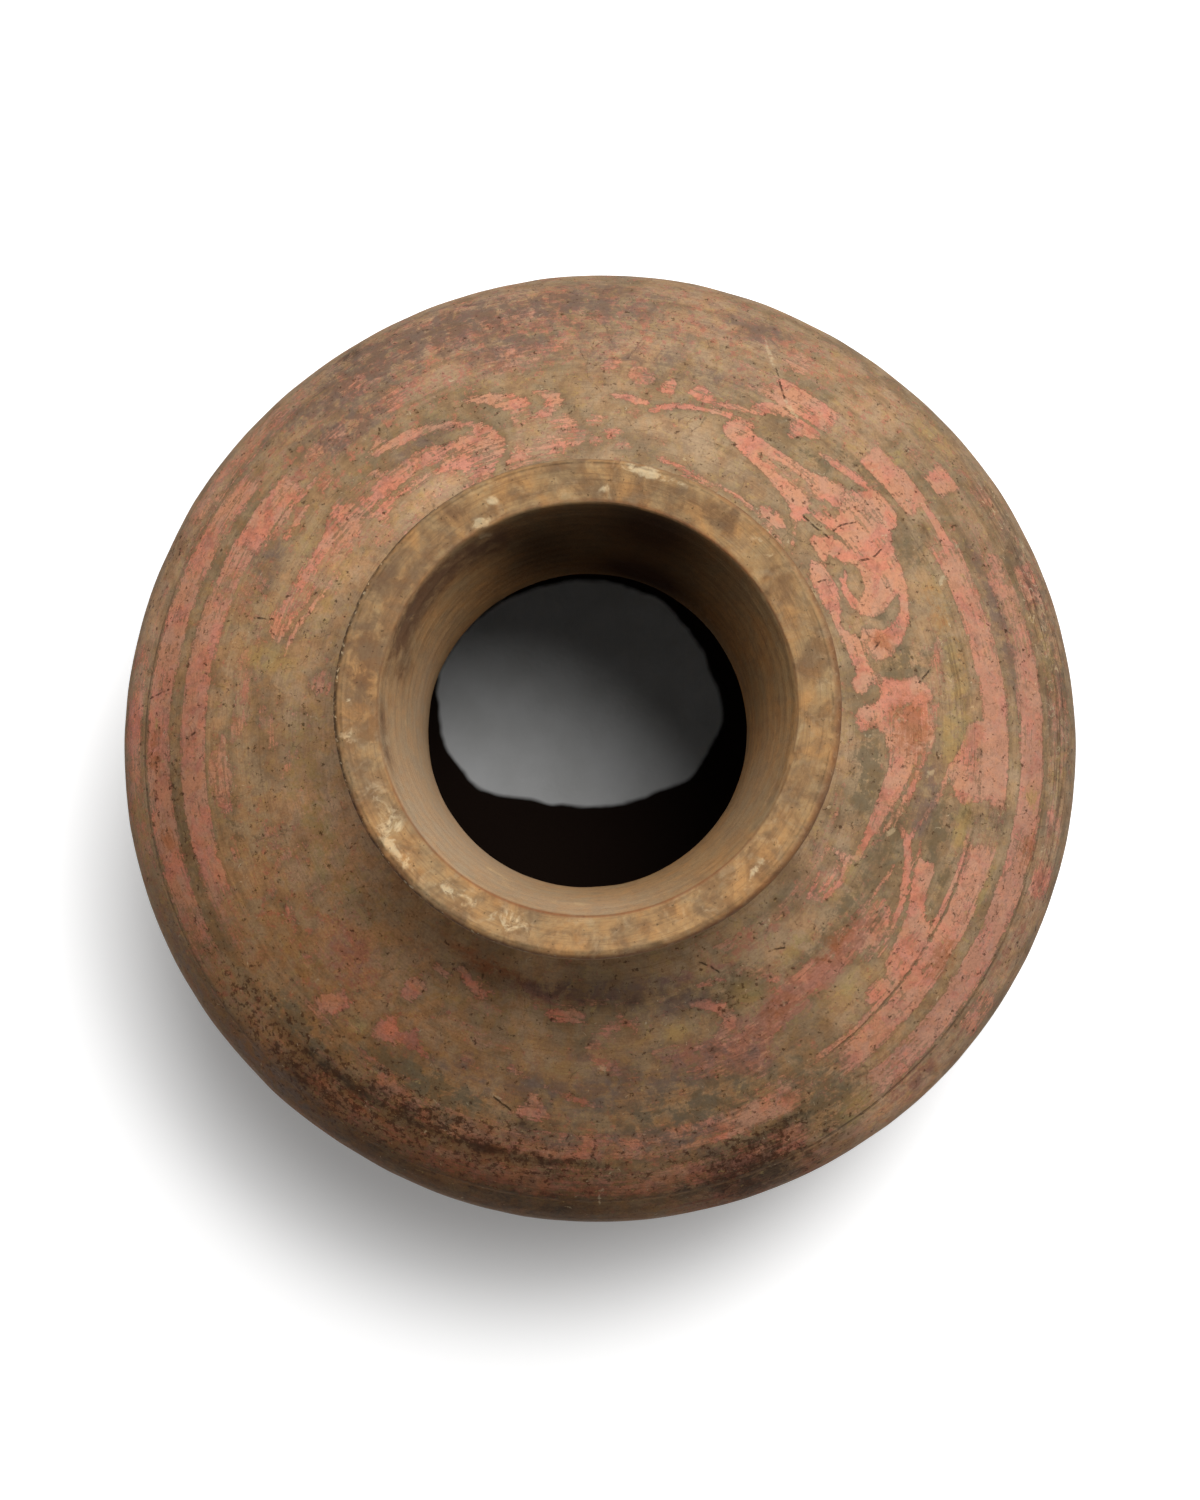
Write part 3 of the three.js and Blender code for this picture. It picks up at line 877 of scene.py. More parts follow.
SCROLL_UPPER_LEFT = (
    patch(0.78, (164.2, 102.4), (162.4, 105.6), (159, 106), (155.5, 103.8), (150, 103.6), (145, 103.8),
          (141.2, 105.6), (138.4, 107.6), (135.5, 108), (132.8, 105.8), (130.2, 106.2), (128, 103.4),
          (124, 103), (120.5, 103), (117.2, 100.6), (113.4, 100.8), (110.4, 101.8), (108.4, 99),
          (107.2, 95.6), (107.4, 92.6), (109, 89.4), (111.4, 86.8), (114, 84), (125, 83.4), (136, 84),
          (139.6, 88), (142, 92.8), (147.5, 94), (153, 96), (158.5, 98.2), (162.4, 100.4)),
    stroke(0, (166, 100.4, 0.4), (160, 98.4, 0.8), (154, 96, 0.8), (148, 94.2, 0.4)),
    stroke(1, (166.4, 98.9, 0.5), (160, 97.1, 0.65), (155, 94.9, 0.6), (148, 92.8, 0.5)),
    patch(0, (134.8, 89.6), (133, 92.8), (128, 94.2), (121, 93.4), (117, 90.6), (117.6, 86.6), (124, 84.2),
          (133.5, 84.4)),
    patch(0.36, (133.8, 89), (132, 92), (127, 93.2), (121, 92.4), (117, 90), (117, 85), (124, 82),
          (132.5, 83)),
    stroke(0, (137, 98, 0.3), (131, 96.6, 0.7), (124, 96.8, 0.9), (119, 95, 0.5)),
    worn(0.4, (143.5, 92.8), (139, 95.4), (136, 95.4), (134.8, 90), (134.5, 82), (143, 82), (146, 90)),
    worn(0.6, (153, 98.6), (146, 99.4), (140, 99), (137, 97), (141, 94), (147, 94.4)),
    worn(0.5, (138, 108), (134, 108), (131, 106), (131, 103), (134, 102), (137, 104)),
    stroke(0.9, (160, 139.9, 0.4), (147, 139.8, 0.4), (133, 139.7, 0.4)),
    stroke(0.74, (128.4, 110.8, 1.0), (123, 109.4, 1.7), (117.5, 107.2, 1.5), (113.4, 104.4, 1.0),
           (110, 101.4, 0.6)),
    stroke(0, (111.5, 110.6, 0.4), (108.2, 106, 1.2), (106, 101, 1.4), (105, 96, 1.4), (106.2, 91, 1.2),
           (108.8, 87, 0.8), (112, 84, 0.4)),
    patch(0.8, (111.8, 111.6), (107.4, 110.8), (104, 108.8), (101.6, 105.8), (100.8, 103.4), (103, 102.8),
          (105.2, 103.6), (107.4, 106.6), (109.6, 109.4)),
    patch(0.82, (100.4, 108), (97.6, 107.4), (95.6, 104.8), (96, 101.6), (98.6, 99), (101.4, 98.4),
          (100.6, 100.8), (98.8, 103), (98.8, 105.4)),
    patch(0.56, (105, 102), (103.2, 104), (101, 101.6), (98, 98.6), (95, 98.8), (93, 96), (91.4, 92),
          (94, 87.6), (100, 85.2), (107, 84.6), (108.5, 86.4), (106.4, 90.2), (105, 94), (104.6, 98)),
    patch(0, (103.8, 101.6), (102.6, 102), (101.8, 100.2), (103, 99.4)),
    patch(0, (103.8, 94.8), (102.4, 95.4), (101.8, 92.4), (103.2, 92)),
    patch(0, (93, 95), (91.8, 96), (91, 94.4), (92, 93.4)),
    patch(0.5, (181, 112.6), (176, 111.2), (171, 112.2), (167, 112), (166.6, 109.4), (171, 107.6),
          (176.5, 107.4), (180, 109.4)),
    patch(0.5, (171.8, 105.4), (169, 107), (167.6, 106), (170, 104.6)),
    patch(0.42, (183, 98.6), (179, 102), (175.4, 103.6), (176.8, 100.4), (180.4, 98.4)),
    patch(0.6, (172.4, 85), (170.4, 88.4), (168.4, 87), (167.2, 84.4), (168.6, 82.2), (171.6, 82.2)),
    patch(0.35, (164, 86), (161.4, 87.2), (159.4, 86), (161.4, 84.8)),
    stroke(0.5, (177, 88.4, 0.4), (176.4, 91.6, 0.6)),
    stroke(0.6, (165.4, 108, 0.7), (161.4, 108.8, 0.7)),
    patch(0.42, (161.6, 112), (160.4, 119), (157, 119.6), (154, 115), (155.6, 112), (158.6, 114.4)),
    stroke(0.9, (147.6, 113.6, 0.5), (144, 113.6, 0.6), (141.4, 113.8, 0.4)),
    stroke(0.8, (138, 114, 0.4), (135.6, 114.2, 0.5)),
    stroke(0.6, (129, 111.4, 0.5), (126.2, 113.6, 0.8)),
    stroke(0.7, (127, 131.6, 0.5), (121, 132.2, 0.6), (116, 132, 0.4)),
    stroke(0.75, (110, 132.2, 0.5), (105.4, 132.2, 0.5)),
    patch(0.72, (101.4, 133.6), (100.6, 137.4), (98.4, 138), (98, 134.6), (99.6, 132.8)),
)

# Cloud scroll at the lower left, mostly worn away

SCROLL_LOWER_LEFT = (
    stroke(0.95, (271, 114.6, 0.4), (267, 112.4, 0.6), (262, 109.3, 0.5)),
    stroke(0.8, (259.4, 107.8, 0.4), (255.8, 106, 0.7)),
    stroke(0.95, (272, 133.2, 0.5), (266, 133.4, 0.5), (262, 133.2, 0.4)),
    stroke(0.9, (240, 133.2, 0.5), (235, 133.2, 0.6), (230, 133.2, 0.4)),
    stroke(0.9, (247.6, 133.4, 0.6), (245.4, 133.4, 0.7)),
    stroke(0.85, (242, 121, 0.3), (238, 121.2, 0.5), (233, 121.2, 0.4)),
    stroke(0.85, (227, 120.8, 0.4), (223, 120.6, 0.4)),
    stroke(0.7, (279, 83.6, 0.5), (272, 82.8, 0.6), (266, 83, 0.4)),
    patch(0.84, (263.2, 118.6), (261, 119.8), (257.4, 119), (259, 116), (259.6, 112.4), (262, 114.4)),
    patch(0.86, (243.6, 112), (239.4, 112), (237, 113.8), (234.2, 115.4), (233, 113), (233.4, 109),
          (235, 106), (236.8, 109), (238.8, 106.6), (240.4, 109), (242.4, 110.8)),
    patch(0.95, (236.4, 97), (235.2, 100.2), (233.4, 100.4), (232.9, 97), (233.6, 93.4), (235.8, 92.8),
          (236.6, 94.4)),
    patch(0.6, (236.6, 92.6), (234.2, 92.8), (234.8, 90.4), (236, 90.6)),
    stroke(0.92, (247.2, 87.6, 0.9), (244.4, 86, 1.4), (241.2, 83.6, 1.2)),
    stroke(0.55, (248.4, 85.4, 0.7), (245, 83.6, 0.8)),
    patch(0.9, (240, 87.2), (238, 88.2), (236, 87), (236.2, 85.4), (238.6, 86)),
    patch(0.85, (268.2, 87.6), (266, 89.2), (261.4, 88.8), (260.2, 86.6), (262.6, 85.4), (266.6, 85.6)),
    stroke(0.6, (267.4, 82.9, 0.4), (262, 83, 0.5), (257.4, 83, 0.4)),
    patch(0.5, (260, 85.8), (258, 86.4), (257.8, 83.8), (259.4, 83.6)),
    patch(0.92, (227.6, 115), (226.2, 119.6), (224, 120.2), (223.6, 116), (225, 113), (225.4, 111),
          (227.8, 111)),
    patch(0.5, (232, 116), (230.6, 118.6), (229.6, 117), (230.6, 115)),
    patch(0.7, (219.6, 112), (218.8, 114.8), (216.8, 113), (217.6, 110.6), (219, 110.8)),
    stroke(0.66, (215.4, 112.2, 0.8), (212, 110.4, 1.0), (209, 108.2, 0.7)),
    stroke(0.55, (206.2, 111.6, 0.6), (203.6, 108, 0.9), (201.8, 103, 0.8), (201, 96, 0.5)),
    patch(0.34, (227, 108), (223, 110), (218, 109), (214.6, 103), (215, 96), (216.6, 89.6), (222, 90),
          (227, 95), (229, 101)),
    stroke(0.7, (218.6, 103.6, 0.5), (215.4, 101, 0.4)),
    stroke(0.5, (224, 104.6, 0.6), (219.6, 103.4, 0.5)),
    patch(0.5, (199.8, 104), (197.6, 106.8), (195.8, 105.6), (196.6, 102.4), (199, 101.6)),
    stroke(0.4, (209.2, 100, 0.5), (208.6, 95, 0.5)),
    patch(0.72, (192.4, 115.6), (190.6, 119), (186.4, 120.4), (182.6, 119.2), (181.4, 116.6), (179.8, 114.2),
          (183, 113.6), (187, 112.8), (190, 113.6)),
    stroke(0.6, (199, 117.6, 0.3), (196, 115.8, 0.6)),
    stroke(0.5, (188.4, 97.6, 0.5), (184.4, 92.4, 0.8)),
    patch(0.45, (250.4, 108), (248.4, 109.4), (247.4, 107.4), (249, 105.8)),
    patch(0.3, (256, 100), (250, 103), (244, 102), (240, 99.6), (246, 97), (253, 97)),
    patch(0.3, (252, 91), (247, 92), (244, 90), (249, 88.6)),
)

# Cloud scroll at the lower right

SCROLL_LOWER_RIGHT = (
    patch(0.96, (361.4, 121.6), (355, 122), (350.4, 121), (349.6, 117.6), (349, 114.6), (350.2, 112.2),
          (353, 109.6), (355.4, 110.4), (358.4, 112.6), (361.4, 114.6)),
    stroke(0.85, (354.4, 109.2, 0.6), (350, 107.4, 0.7), (345, 104, 0.7), (341.4, 101.6, 0.4)),
    patch(0.95, (362, 103.4), (356, 101.6), (350.4, 99), (345, 96.2), (340, 93.4), (335, 91), (333.2, 88),
          (337, 88.2), (343, 88.4), (350, 89.6), (354, 90.6), (358.4, 89.4), (362, 88.6)),
    stroke(0.8, (352, 100.4, 0.5), (347, 97.4, 0.8), (342.6, 95.6, 0.5)),
    stroke(0, (355.5, 99.6, 0.4), (350, 97, 0.65), (345, 94.4, 0.7), (340, 92, 0.65), (334.6, 90, 0.4)),
    stroke(0.96, (342.8, 97.6, 0.7), (340.4, 101.2, 1.2), (335.4, 104.8, 1.1), (330, 107.6, 0.9),
           (325.4, 109.4, 0.7), (321.8, 110.6, 0.4)),
    patch(0.99, (341.8, 105), (338.8, 107), (338.4, 111.8), (334, 112.8), (331, 115.2), (329.8, 118.8),
          (325.6, 119.8), (321, 119.4), (320.4, 116), (322, 113.2), (326, 111.8), (331, 109.8),
          (335.6, 107)),
    patch(0.9, (319.6, 118.8), (316, 119), (315, 116.8), (317, 114.6), (319.6, 115.6)),
    patch(0.68, (329.8, 101.4), (328.4, 105.6), (324.6, 108.6), (321.6, 109), (319.4, 106), (316, 104.6),
          (310, 104.4), (305.4, 105), (301.4, 107), (299, 109.6), (298.2, 113), (296.4, 117), (294.6, 115.6),
          (292, 112.8), (287, 110.8), (284.2, 109.2), (287, 107), (291, 104), (296, 101.6), (302, 98.6),
          (306, 95.6), (313, 95.4), (320, 96.8), (326, 98.6)),
    stroke(0.92, (320, 108.2, 0.7), (325, 107.2, 0.9), (328.4, 104.6, 1.1), (328.8, 102, 0.9),
           (326, 99.8, 0.8), (320, 97.6, 0.6)),
    stroke(0.9, (335.8, 100.2, 0.4), (330, 98.8, 0.5), (325, 97.6, 0.5), (320, 96.2, 0.4)),
    stroke(0, (329.6, 99.8, 0.3), (324, 98.8, 0.6), (318, 97.6, 0.4)),
    stroke(0, (322, 107.4, 0.6), (318, 106.6, 1.6), (313, 106.4, 1.4), (310.5, 105.6, 0.5)),
    stroke(0.8, (333.6, 81.4, 1.0), (333, 86, 1.4), (329, 88, 1.2), (324, 86.6, 0.9), (322, 83, 0.7),
           (327, 81, 0.6)),
    stroke(0.7, (331, 84.4, 0.5), (327.4, 85.2, 0.7), (324.4, 84, 0.4)),
    stroke(0.5, (346, 77.4, 0.8), (335, 78, 1.4), (322, 79, 1.6), (310, 78, 1.8), (300, 77, 1.5)),
    stroke(0.85, (301, 101.8, 0.6), (295, 102.8, 0.9), (290, 102.2, 0.9), (286.6, 101.2, 0.5)),
    stroke(0, (299.6, 100.6, 0.4), (293, 101.2, 0.4), (287, 100.2, 0.3)),
    patch(0.6, (286.4, 101.6), (284, 103.4), (281, 101.6), (280.6, 99), (283.4, 98.4)),
    stroke(0.62, (276.6, 106.8, 1.0), (273.4, 103.6, 1.5), (271, 100, 2.1), (269.8, 96.4, 2.2),
           (271.2, 92.6, 1.8), (274.4, 90.2, 1.3), (278.4, 89.6, 0.6)),
    stroke(0.9, (291.8, 101, 1.2), (294.9, 97.6, 2.1), (294.6, 93.4, 2.2), (292, 90.2, 1.7),
           (289.6, 88.6, 0.9)),
    stroke(0.62, (307.4, 96.4, 1.2), (305.2, 91.4, 1.6), (302.6, 87, 1.4), (300, 85.4, 0.8)),
    stroke(0.8, (297.4, 85, 0.6), (292, 84, 0.6)),
    stroke(0.6, (287.4, 88, 0.8), (284.6, 85, 1.4)),
    stroke(0.6, (277.6, 91.4, 0.7), (275, 87.4, 1.2)),
    patch(0, (359.6, 86), (357.6, 88.8), (353.6, 90.2), (349, 89), (343, 87.8), (336.6, 88.2), (334, 85),
          (333.6, 81), (337, 78.6), (345, 78), (355, 79.4), (359, 83)),
)
FRIEZE = (*SCROLL_UPPER_RIGHT, *SCROLL_UPPER_LEFT, *SCROLL_LOWER_LEFT, *SCROLL_LOWER_RIGHT)

# Stains, and patches of painted light and shade: (degrees, radius, half angle, half radius, strength) of each
# soft patch

PLUM = (
    (15, 130, 12, 2.4, 0.7), (262, 111, 26, 9, 0.4), (288, 106, 20, 16, 0.3), (84, 137, 30, 13, 0.28),
    (349, 104, 7, 4, 0.6), (222, 100, 16, 12, 0.15), (118, 138, 20, 8, 0.75), (128, 123, 8, 6, 0.7),
    (121, 104.6, 9, 3, 0.5), (104, 124, 8, 8, 0.4), (88, 119, 13, 11, 0.3), (72, 117, 8, 8, 0.35),
    (152, 115, 6, 6, 0.4), (93, 138, 7, 5, 0.42), (68, 137, 4, 5, 0.4), (262, 126, 14, 4, 0.4),
    (345, 103, 3, 3, 0.4), (347, 144, 5, 4, 0.2), (333, 143, 7, 4, 0.15), (282, 127, 9, 8, 0.45),
    (286, 87, 7, 4, 0.5), (272, 80, 20, 4, 0.6), (227, 145, 14, 5, 0.5), (315, 144, 6, 4, 0.2),
    (205, 146, 8, 3, 0.4))
SOOT = (
    (246, 134, 30, 12, 0.25), (302, 92, 18, 12, 0.2), (285, 110, 22, 16, 0.2), (292, 88, 14, 8, 0.16),
    (262, 146, 15, 6, 0.6), (291, 146, 9, 5, 0.7), (238, 146, 12, 4, 0.45), (155, 145, 5, 4, 0.35),
    (122, 146, 3, 3, 0.5), (20, 143, 18, 4, 0.25), (31.6, 119.6, 2.2, 2.6, 0.5), (347.6, 119, 2.2, 6, 0.55),
    (347, 127, 3, 3, 0.45), (258, 131.6, 14, 1.6, 0.75), (234, 131.6, 9, 2, 0.7), (296, 132, 4, 2, 0.45),
    (228, 139, 5, 3, 0.6), (261, 122, 4, 3, 0.5), (270, 137, 12, 5, 0.3), (291, 137, 9, 6, 0.6),
    (285, 142, 8, 4, 0.5), (302, 147, 3, 4, 0.2), (317, 146, 4, 3, 0.15), (192, 131.6, 7, 1.6, 0.5),
    (275, 83, 22, 4, 0.3), (252, 80, 16, 4, 0.34), (240, 127, 8, 3, 0.4), (356, 118, 3, 3, 0.35),
    (14, 121, 2, 2, 0.3))
MOSS = (
    (344, 110, 7, 3, 0.6), (340, 96, 9, 5, 0.6), (322, 94, 12, 5, 0.6), (352, 84, 9, 5, 0.6),
    (303, 130, 5, 12, 0.6), (13, 98, 3, 8, 0.6), (75, 93, 14, 6, 0.15), (300, 90, 7, 6, 0.5),
    (285, 118, 16, 8, 0.5), (225, 128, 9, 6, 0.5), (244, 119, 10, 4.5, 0.85), (51, 109, 5, 2.4, 0.55),
    (46, 116.5, 7, 1.3, 0.6), (43, 129, 4, 1.5, 0.6), (345, 110, 4, 4, 0.5), (337, 116, 6, 2, 0.5),
    (268, 95, 3, 8, 0.5), (12, 97, 2.5, 7, 0.45), (22, 95, 2, 7, 0.4), (350, 84, 9, 4, 0.4),
    (326, 104, 5, 2, 0.4), (30, 112, 5, 5, 0.4), (68, 96, 10, 3, 0.2), (107, 96, 2, 8, 0.3),
    (302, 139, 3, 5, 0.3), (248, 128, 4, 3, 0.5))
OCHRE = (
    (196, 90, 26, 8, 0.45), (244, 93, 16, 5, 0.25), (8, 113, 10, 4, 0.62), (0, 109, 5, 3, 0.7),
    (22, 113, 6, 4, 0.35), (42, 142, 4, 4, 0.5), (315, 110, 5, 4, 0.45), (346, 116.4, 3.4, 2.4, 0.95),
    (352, 137, 2, 4, 0.5), (300, 93, 4, 6, 0.4), (285.5, 95, 3.4, 3.4, 0.6), (167, 103, 2.5, 8, 0.7),
    (190, 146, 6, 3, 0.5), (128, 90, 9, 3.5, 0.3), (330, 89, 7, 2, 0.5), (305, 140, 3, 5, 0.45),
    (43, 127, 1.5, 3, 0.6), (10, 143, 5, 3, 0.5), (357, 144, 5, 3, 0.5), (152, 92, 10, 4, 0.4),
    (218, 114, 4, 2, 0.4), (231, 116, 3, 4, 0.4), (265, 104, 5, 4, 0.35), (338, 129, 8, 1.4, 0.5),
    (312, 90, 6, 4, 0.4), (146, 107, 6, 3, 0.35))
RUST = (
    (20, 112, 6, 4, 0.35), (11, 115, 6, 2, 0.25), (1, 97, 5, 6, 0.9), (17.5, 92, 2.2, 3, 0.6),
    (327, 127, 3.5, 4, 0.7), (182, 138, 3, 3, 0.7), (193, 137, 3, 3, 0.5), (345, 138, 3, 3, 0.5),
    (318, 98, 6, 4, 0.5), (304, 102, 5, 4, 0.45), (245, 78, 12, 4, 0.5), (258, 131, 10, 8, 0.35),
    (235, 136, 8, 4, 0.4), (352, 99, 4, 2, 0.4))

WARM = ((228, 112, 44, 45, 0.9), (158, 112, 34, 45, 0.35), (290, 130, 34, 30, 0.5), (238, 148, 32, 10, 0.6))
# Soft patches made lighter: partly paler clay, and partly painted light that lifts the neck's shadow on the
# shoulder at 150 to 260 degrees and lays a painted sheen along the outer rim
LIGHT = (
    (125, 89, 9, 5, 0.6), (75, 97, 8, 4, 0.45), (72, 92, 9, 4, 0.3), (190, 89, 26, 10, 0.9),
    (246, 93, 18, 8, 0.55), (165, 145, 26, 5, 1.0), (318, 145, 28, 5.5, 1.0), (306, 145, 14, 5, 0.7),
    (347, 145, 10, 4, 0.7), (0, 143, 5, 3, 0.5), (355, 130, 6, 2, 0.6), (113, 142, 4, 3, 0.5),
    (118, 146, 20, 4, 0.4), (92, 92, 12, 10, 0.25), (150, 92, 14, 8, 0.3), (330, 128, 16, 12, 0.2),
    (330, 83, 8, 5, 0.5), (212, 101, 14, 8, 0.2), (256, 104, 10, 6, 0.25), (110, 130, 40, 12, 0.18),
    (24, 146, 30, 4, 0.4), (225.4, 116.4, 2.6, 4.6, 0.32), (236.4, 110, 3.6, 4, 0.26),
    (244, 86, 5, 2.4, 0.22), (200, 90, 10, 6, 0.25))
# Soft patches made darker: partly darker clay, and partly painted shade on the lower left, turned away from
# the key lamp, and under the lip
SHADE = (
    (246, 140, 36, 13, 0.66), (264, 147, 20, 6, 0.9), (244, 148, 28, 7, 0.92), (291, 146, 8, 5, 0.7),
    (240, 131.6, 26, 1.8, 0.5), (196, 131.4, 12, 1.8, 0.3), (195, 128, 26, 12, 0.16),
    (224, 118, 20, 12, 0.38), (250, 108, 40, 12, 0.2), (288, 104, 24, 20, 0.26), (274, 97, 4, 8, 0.2),
    (155, 146, 6, 4, 0.25), (268, 80, 26, 5, 0.3), (15, 130, 12, 2.4, 0.3), (90, 110, 8, 5, 0.3),
    (11, 145, 7, 3, 0.2), (30, 142, 6, 4, 0.15), (238.5, 117, 4, 4, 0.4), (226, 147, 20, 6, 0.8),
    (182, 127, 16, 10, 0.16), (40, 124, 30, 16, 0.08))
RIM_CRUST = (
    (18, 144, 18, 5, 0.9), (346, 145, 14, 4, 0.3), (357, 144, 12, 4, 0.45), (8, 112, 10, 5, 0.5),
    (320, 145, 16, 4, 0.15))
FLECKED = (
    (102, 130, 46, 18, 0.9), (140, 117, 24, 10, 0.7), (215, 110, 24, 16, 0.5), (200, 140, 30, 8, 0.5),
    (310, 96, 30, 14, 0.4), (62, 136, 22, 10, 0.6), (272, 128, 30, 12, 0.6), (15, 144, 20, 5, 0.6))
FADED = (
    (0, 134, 36, 7, 0.8), (320, 135, 25, 7, 0.9), (10, 123, 20, 6, 0.7), (340, 124, 16, 5, 0.5),
    (40, 124, 10, 4, 0.5), (176, 130, 26, 12, 0.5))
CRUST = (
    (250, 131, 26, 9, 1.0), (291, 139, 10, 9, 0.9), (158, 146, 8, 3, 0.4), (186, 131.4, 12, 2, 0.6),
    (185, 139, 10, 3, 0.4), (231, 138, 12, 7, 0.9), (298, 92, 8, 5, 0.5), (217, 135, 8, 7, 0.6))

VEIL = (
    (318, 101, 9, 4.5, 0.8), (304, 102, 9, 5, 0.8), (293, 105, 7, 5, 0.75), (296, 112, 4, 4, 0.65),
    (285, 103, 6, 4, 0.6), (306, 92, 3, 6, 0.5), (328, 85, 5, 4, 0.4), (222, 100, 8, 9, 0.5),
    (335, 144, 18, 4, 0.4), (312, 144, 8, 4, 0.4), (270, 97, 5, 8, 0.4), (258, 102, 14, 6, 0.25),
    (204, 100, 5, 8, 0.3), (120, 122, 30, 6, 0.2), (300, 80, 30, 4, 0.4), (258, 82, 14, 4, 0.45))
STAINS_LIGHT_AND_SHADE = (
    ("veil", VEIL), ("plum", PLUM), ("soot", SOOT), ("moss", MOSS), ("ochre", OCHRE), ("rust", RUST),
    ("warm", WARM), ("crust", CRUST), ("light", LIGHT), ("faded", FADED), ("flecked", FLECKED),
    ("shade", SHADE), ("rim_crust", RIM_CRUST))

# The bowl below the girth: its own stains by height, and the share left of a last strip of paint

BOWL_STAINS = {
    "soot": ((250, 132, 26, 18, 0.5), (20, 100, 25, 20, 0.4), (140, 70, 30, 25, 0.4)),
    "plum": ((100, 120, 50, 30, 0.5), (330, 90, 40, 30, 0.4)),
    "ochre": ((200, 110, 30, 20, 0.4), (60, 60, 40, 20, 0.4), (310, 60, 30, 20, 0.5)),
    "flecked": ((120, 140, 60, 16, 0.6), (300, 136, 50, 16, 0.5))}
BOWL_BAND = (
    (0, 0.3), (40, 0.45), (80, 0.3), (120, 0.5), (150, 0.62), (170, 0.35), (196, 0.75), (214, 0.72),
    (225, 0.25), (260, 0.15), (290, 0.4), (312, 0.6), (330, 0.3))

# Stains and painted shade of the neck's inner wall by height, and stains of the lip by radius

THROAT_PLUM = ((148, 281, 20, 9, 1.0), (122, 277, 12, 9, 0.7), (188, 284, 12, 5, 0.5), (166, 270, 6, 8, 0.5))
# Painted shade with a little soot: the neck's inner wall at 20 to 110 degrees, turned away from the key lamp,
# and low in the throat, made near black
THROAT_SHADE_AND_SOOT = (
    (70, 278, 40, 40, 0.9), (70, 236, 42, 30, 0.9), (20, 246, 26, 26, 0.25), (285, 228, 30, 9, 0.55),
    (108, 262, 22, 40, 0.75))
THROAT_DUST = (
    (218, 262, 42, 60, 0.7), (176, 244, 24, 16, 0.5), (272, 280, 26, 14, 0.45), (335, 262, 22, 30, 0.24))
THROAT_PALE = (
    (121, 283, 3, 2.5, 0.8), (182, 262, 2, 10, 0.4), (240, 266, 8, 8, 0.4), (262, 275, 20, 6, 0.3))
THROAT_STAINS_AND_SHADE = (
    ("throat_plum", THROAT_PLUM), ("throat_soot", THROAT_SHADE_AND_SOOT), ("throat_pale", THROAT_PALE),
    ("throat_dust", THROAT_DUST))
LIP_BROWN = (
    (150, 66, 26, 9, 0.5), (66, 66, 18, 8, 0.55), (180, 66, 14, 8, 0.3), (20, 66, 16, 8, 0.2),
    (332, 65, 10, 6, 0.15), (168, 66, 10, 5, 0.95), (54, 68, 4, 4, 0.6), (340, 64, 6, 4, 0.55),
    (125, 68, 6, 3, 0.7), (30, 66, 8, 3, 0.35), (300, 65, 6, 4, 0.1), (202, 66, 6, 4, 0.4),
    (100, 70, 8, 2, 0.45), (350, 68, 5, 4, 0.4), (135, 63, 8, 2, 0.5), (10, 64, 6, 2.5, 0.4),
    (270, 63, 8, 2, 0.15), (148, 70, 6, 2, 0.4))
LIP_CREAM = (
    (75, 70.4, 9, 1.8, 0.85), (120, 61.8, 2.6, 1.6, 0.95), (236, 66, 5, 3, 0.5), (210, 66, 12, 5, 0.4),
    (232, 66, 30, 6, 0.16), (300, 67, 14, 4, 0.3), (250, 66, 5, 3, 0.6), (179, 69, 1.2, 1.2, 0.8),
    (187, 70, 4, 2.5, 0.5), (216, 69, 7, 2, 0.5), (85, 64, 5, 2, 0.4), (42, 69, 6, 2, 0.4),
    (318, 68, 8, 2, 0.45), (115, 66, 3, 2, 0.5))

GROOVE_DIRT = ((0, 0.5), (60, 0.5), (95, 0.8), (130, 0.5), (205, 0.5), (235, 0.5), (270, 0.35), (330, 0.4))
RIM_EDGE = ((0, 0.8), (60, 0.8), (85, 0.35), (190, 0.3), (205, 0.85), (330, 0.9))
# Dark outer edge of the lip by angle: grime, and painted shadow under the edge, strongest on the side away
# from the key lamp
EDGE_DIRT_AND_SHADOW = (
    (0, 0.15), (60, 0.2), (110, 0.5), (130, 0.9), (200, 0.95), (232, 0.9), (258, 0.6), (275, 0.2),
    (330, 0.1))

# Dark and pale scratches, as strokes

DARK_SCRATCHES = (
    stroke(1, (63.9, 127.6, 0.3), (62.4, 123.6, 0.5), (61, 120.4, 0.3)),
    stroke(1, (32.6, 104.2, 0.2), (32.2, 101, 0.4), (32.8, 97.4, 0.2)),
    stroke(1, (39, 103, 0.15), (40, 99.4, 0.3), (40.2, 96.4, 0.2)),
    stroke(1, (45.6, 92.2, 0.3), (42.4, 92.5, 0.5), (40, 93.3, 0.3)),
    stroke(1, (10.4, 104.2, 0.3), (9, 101.2, 0.6)),
    stroke(1, (33.3, 84, 0.4), (33.6, 82.2, 0.4)),
    stroke(1, (17.2, 91, 0.4), (16.6, 89.6, 0.4)),
    stroke(1, (257, 118, 0.3), (255.6, 116.8, 0.7), (254.2, 115.6, 0.3)),
    stroke(1, (180.3, 127.2, 0.3), (179.6, 125, 0.5)),
    stroke(1, (174.6, 140, 0.2), (173.5, 134.4, 0.3)),
    stroke(1, (297, 82.4, 0.3), (296.2, 80.4, 0.5), (294.6, 78, 0.3)),
    stroke(1, (310.8, 87.6, 0.3), (309.4, 86.4, 0.5)),
    stroke(1, (161, 111, 0.15), (160.4, 106, 0.3)),
)
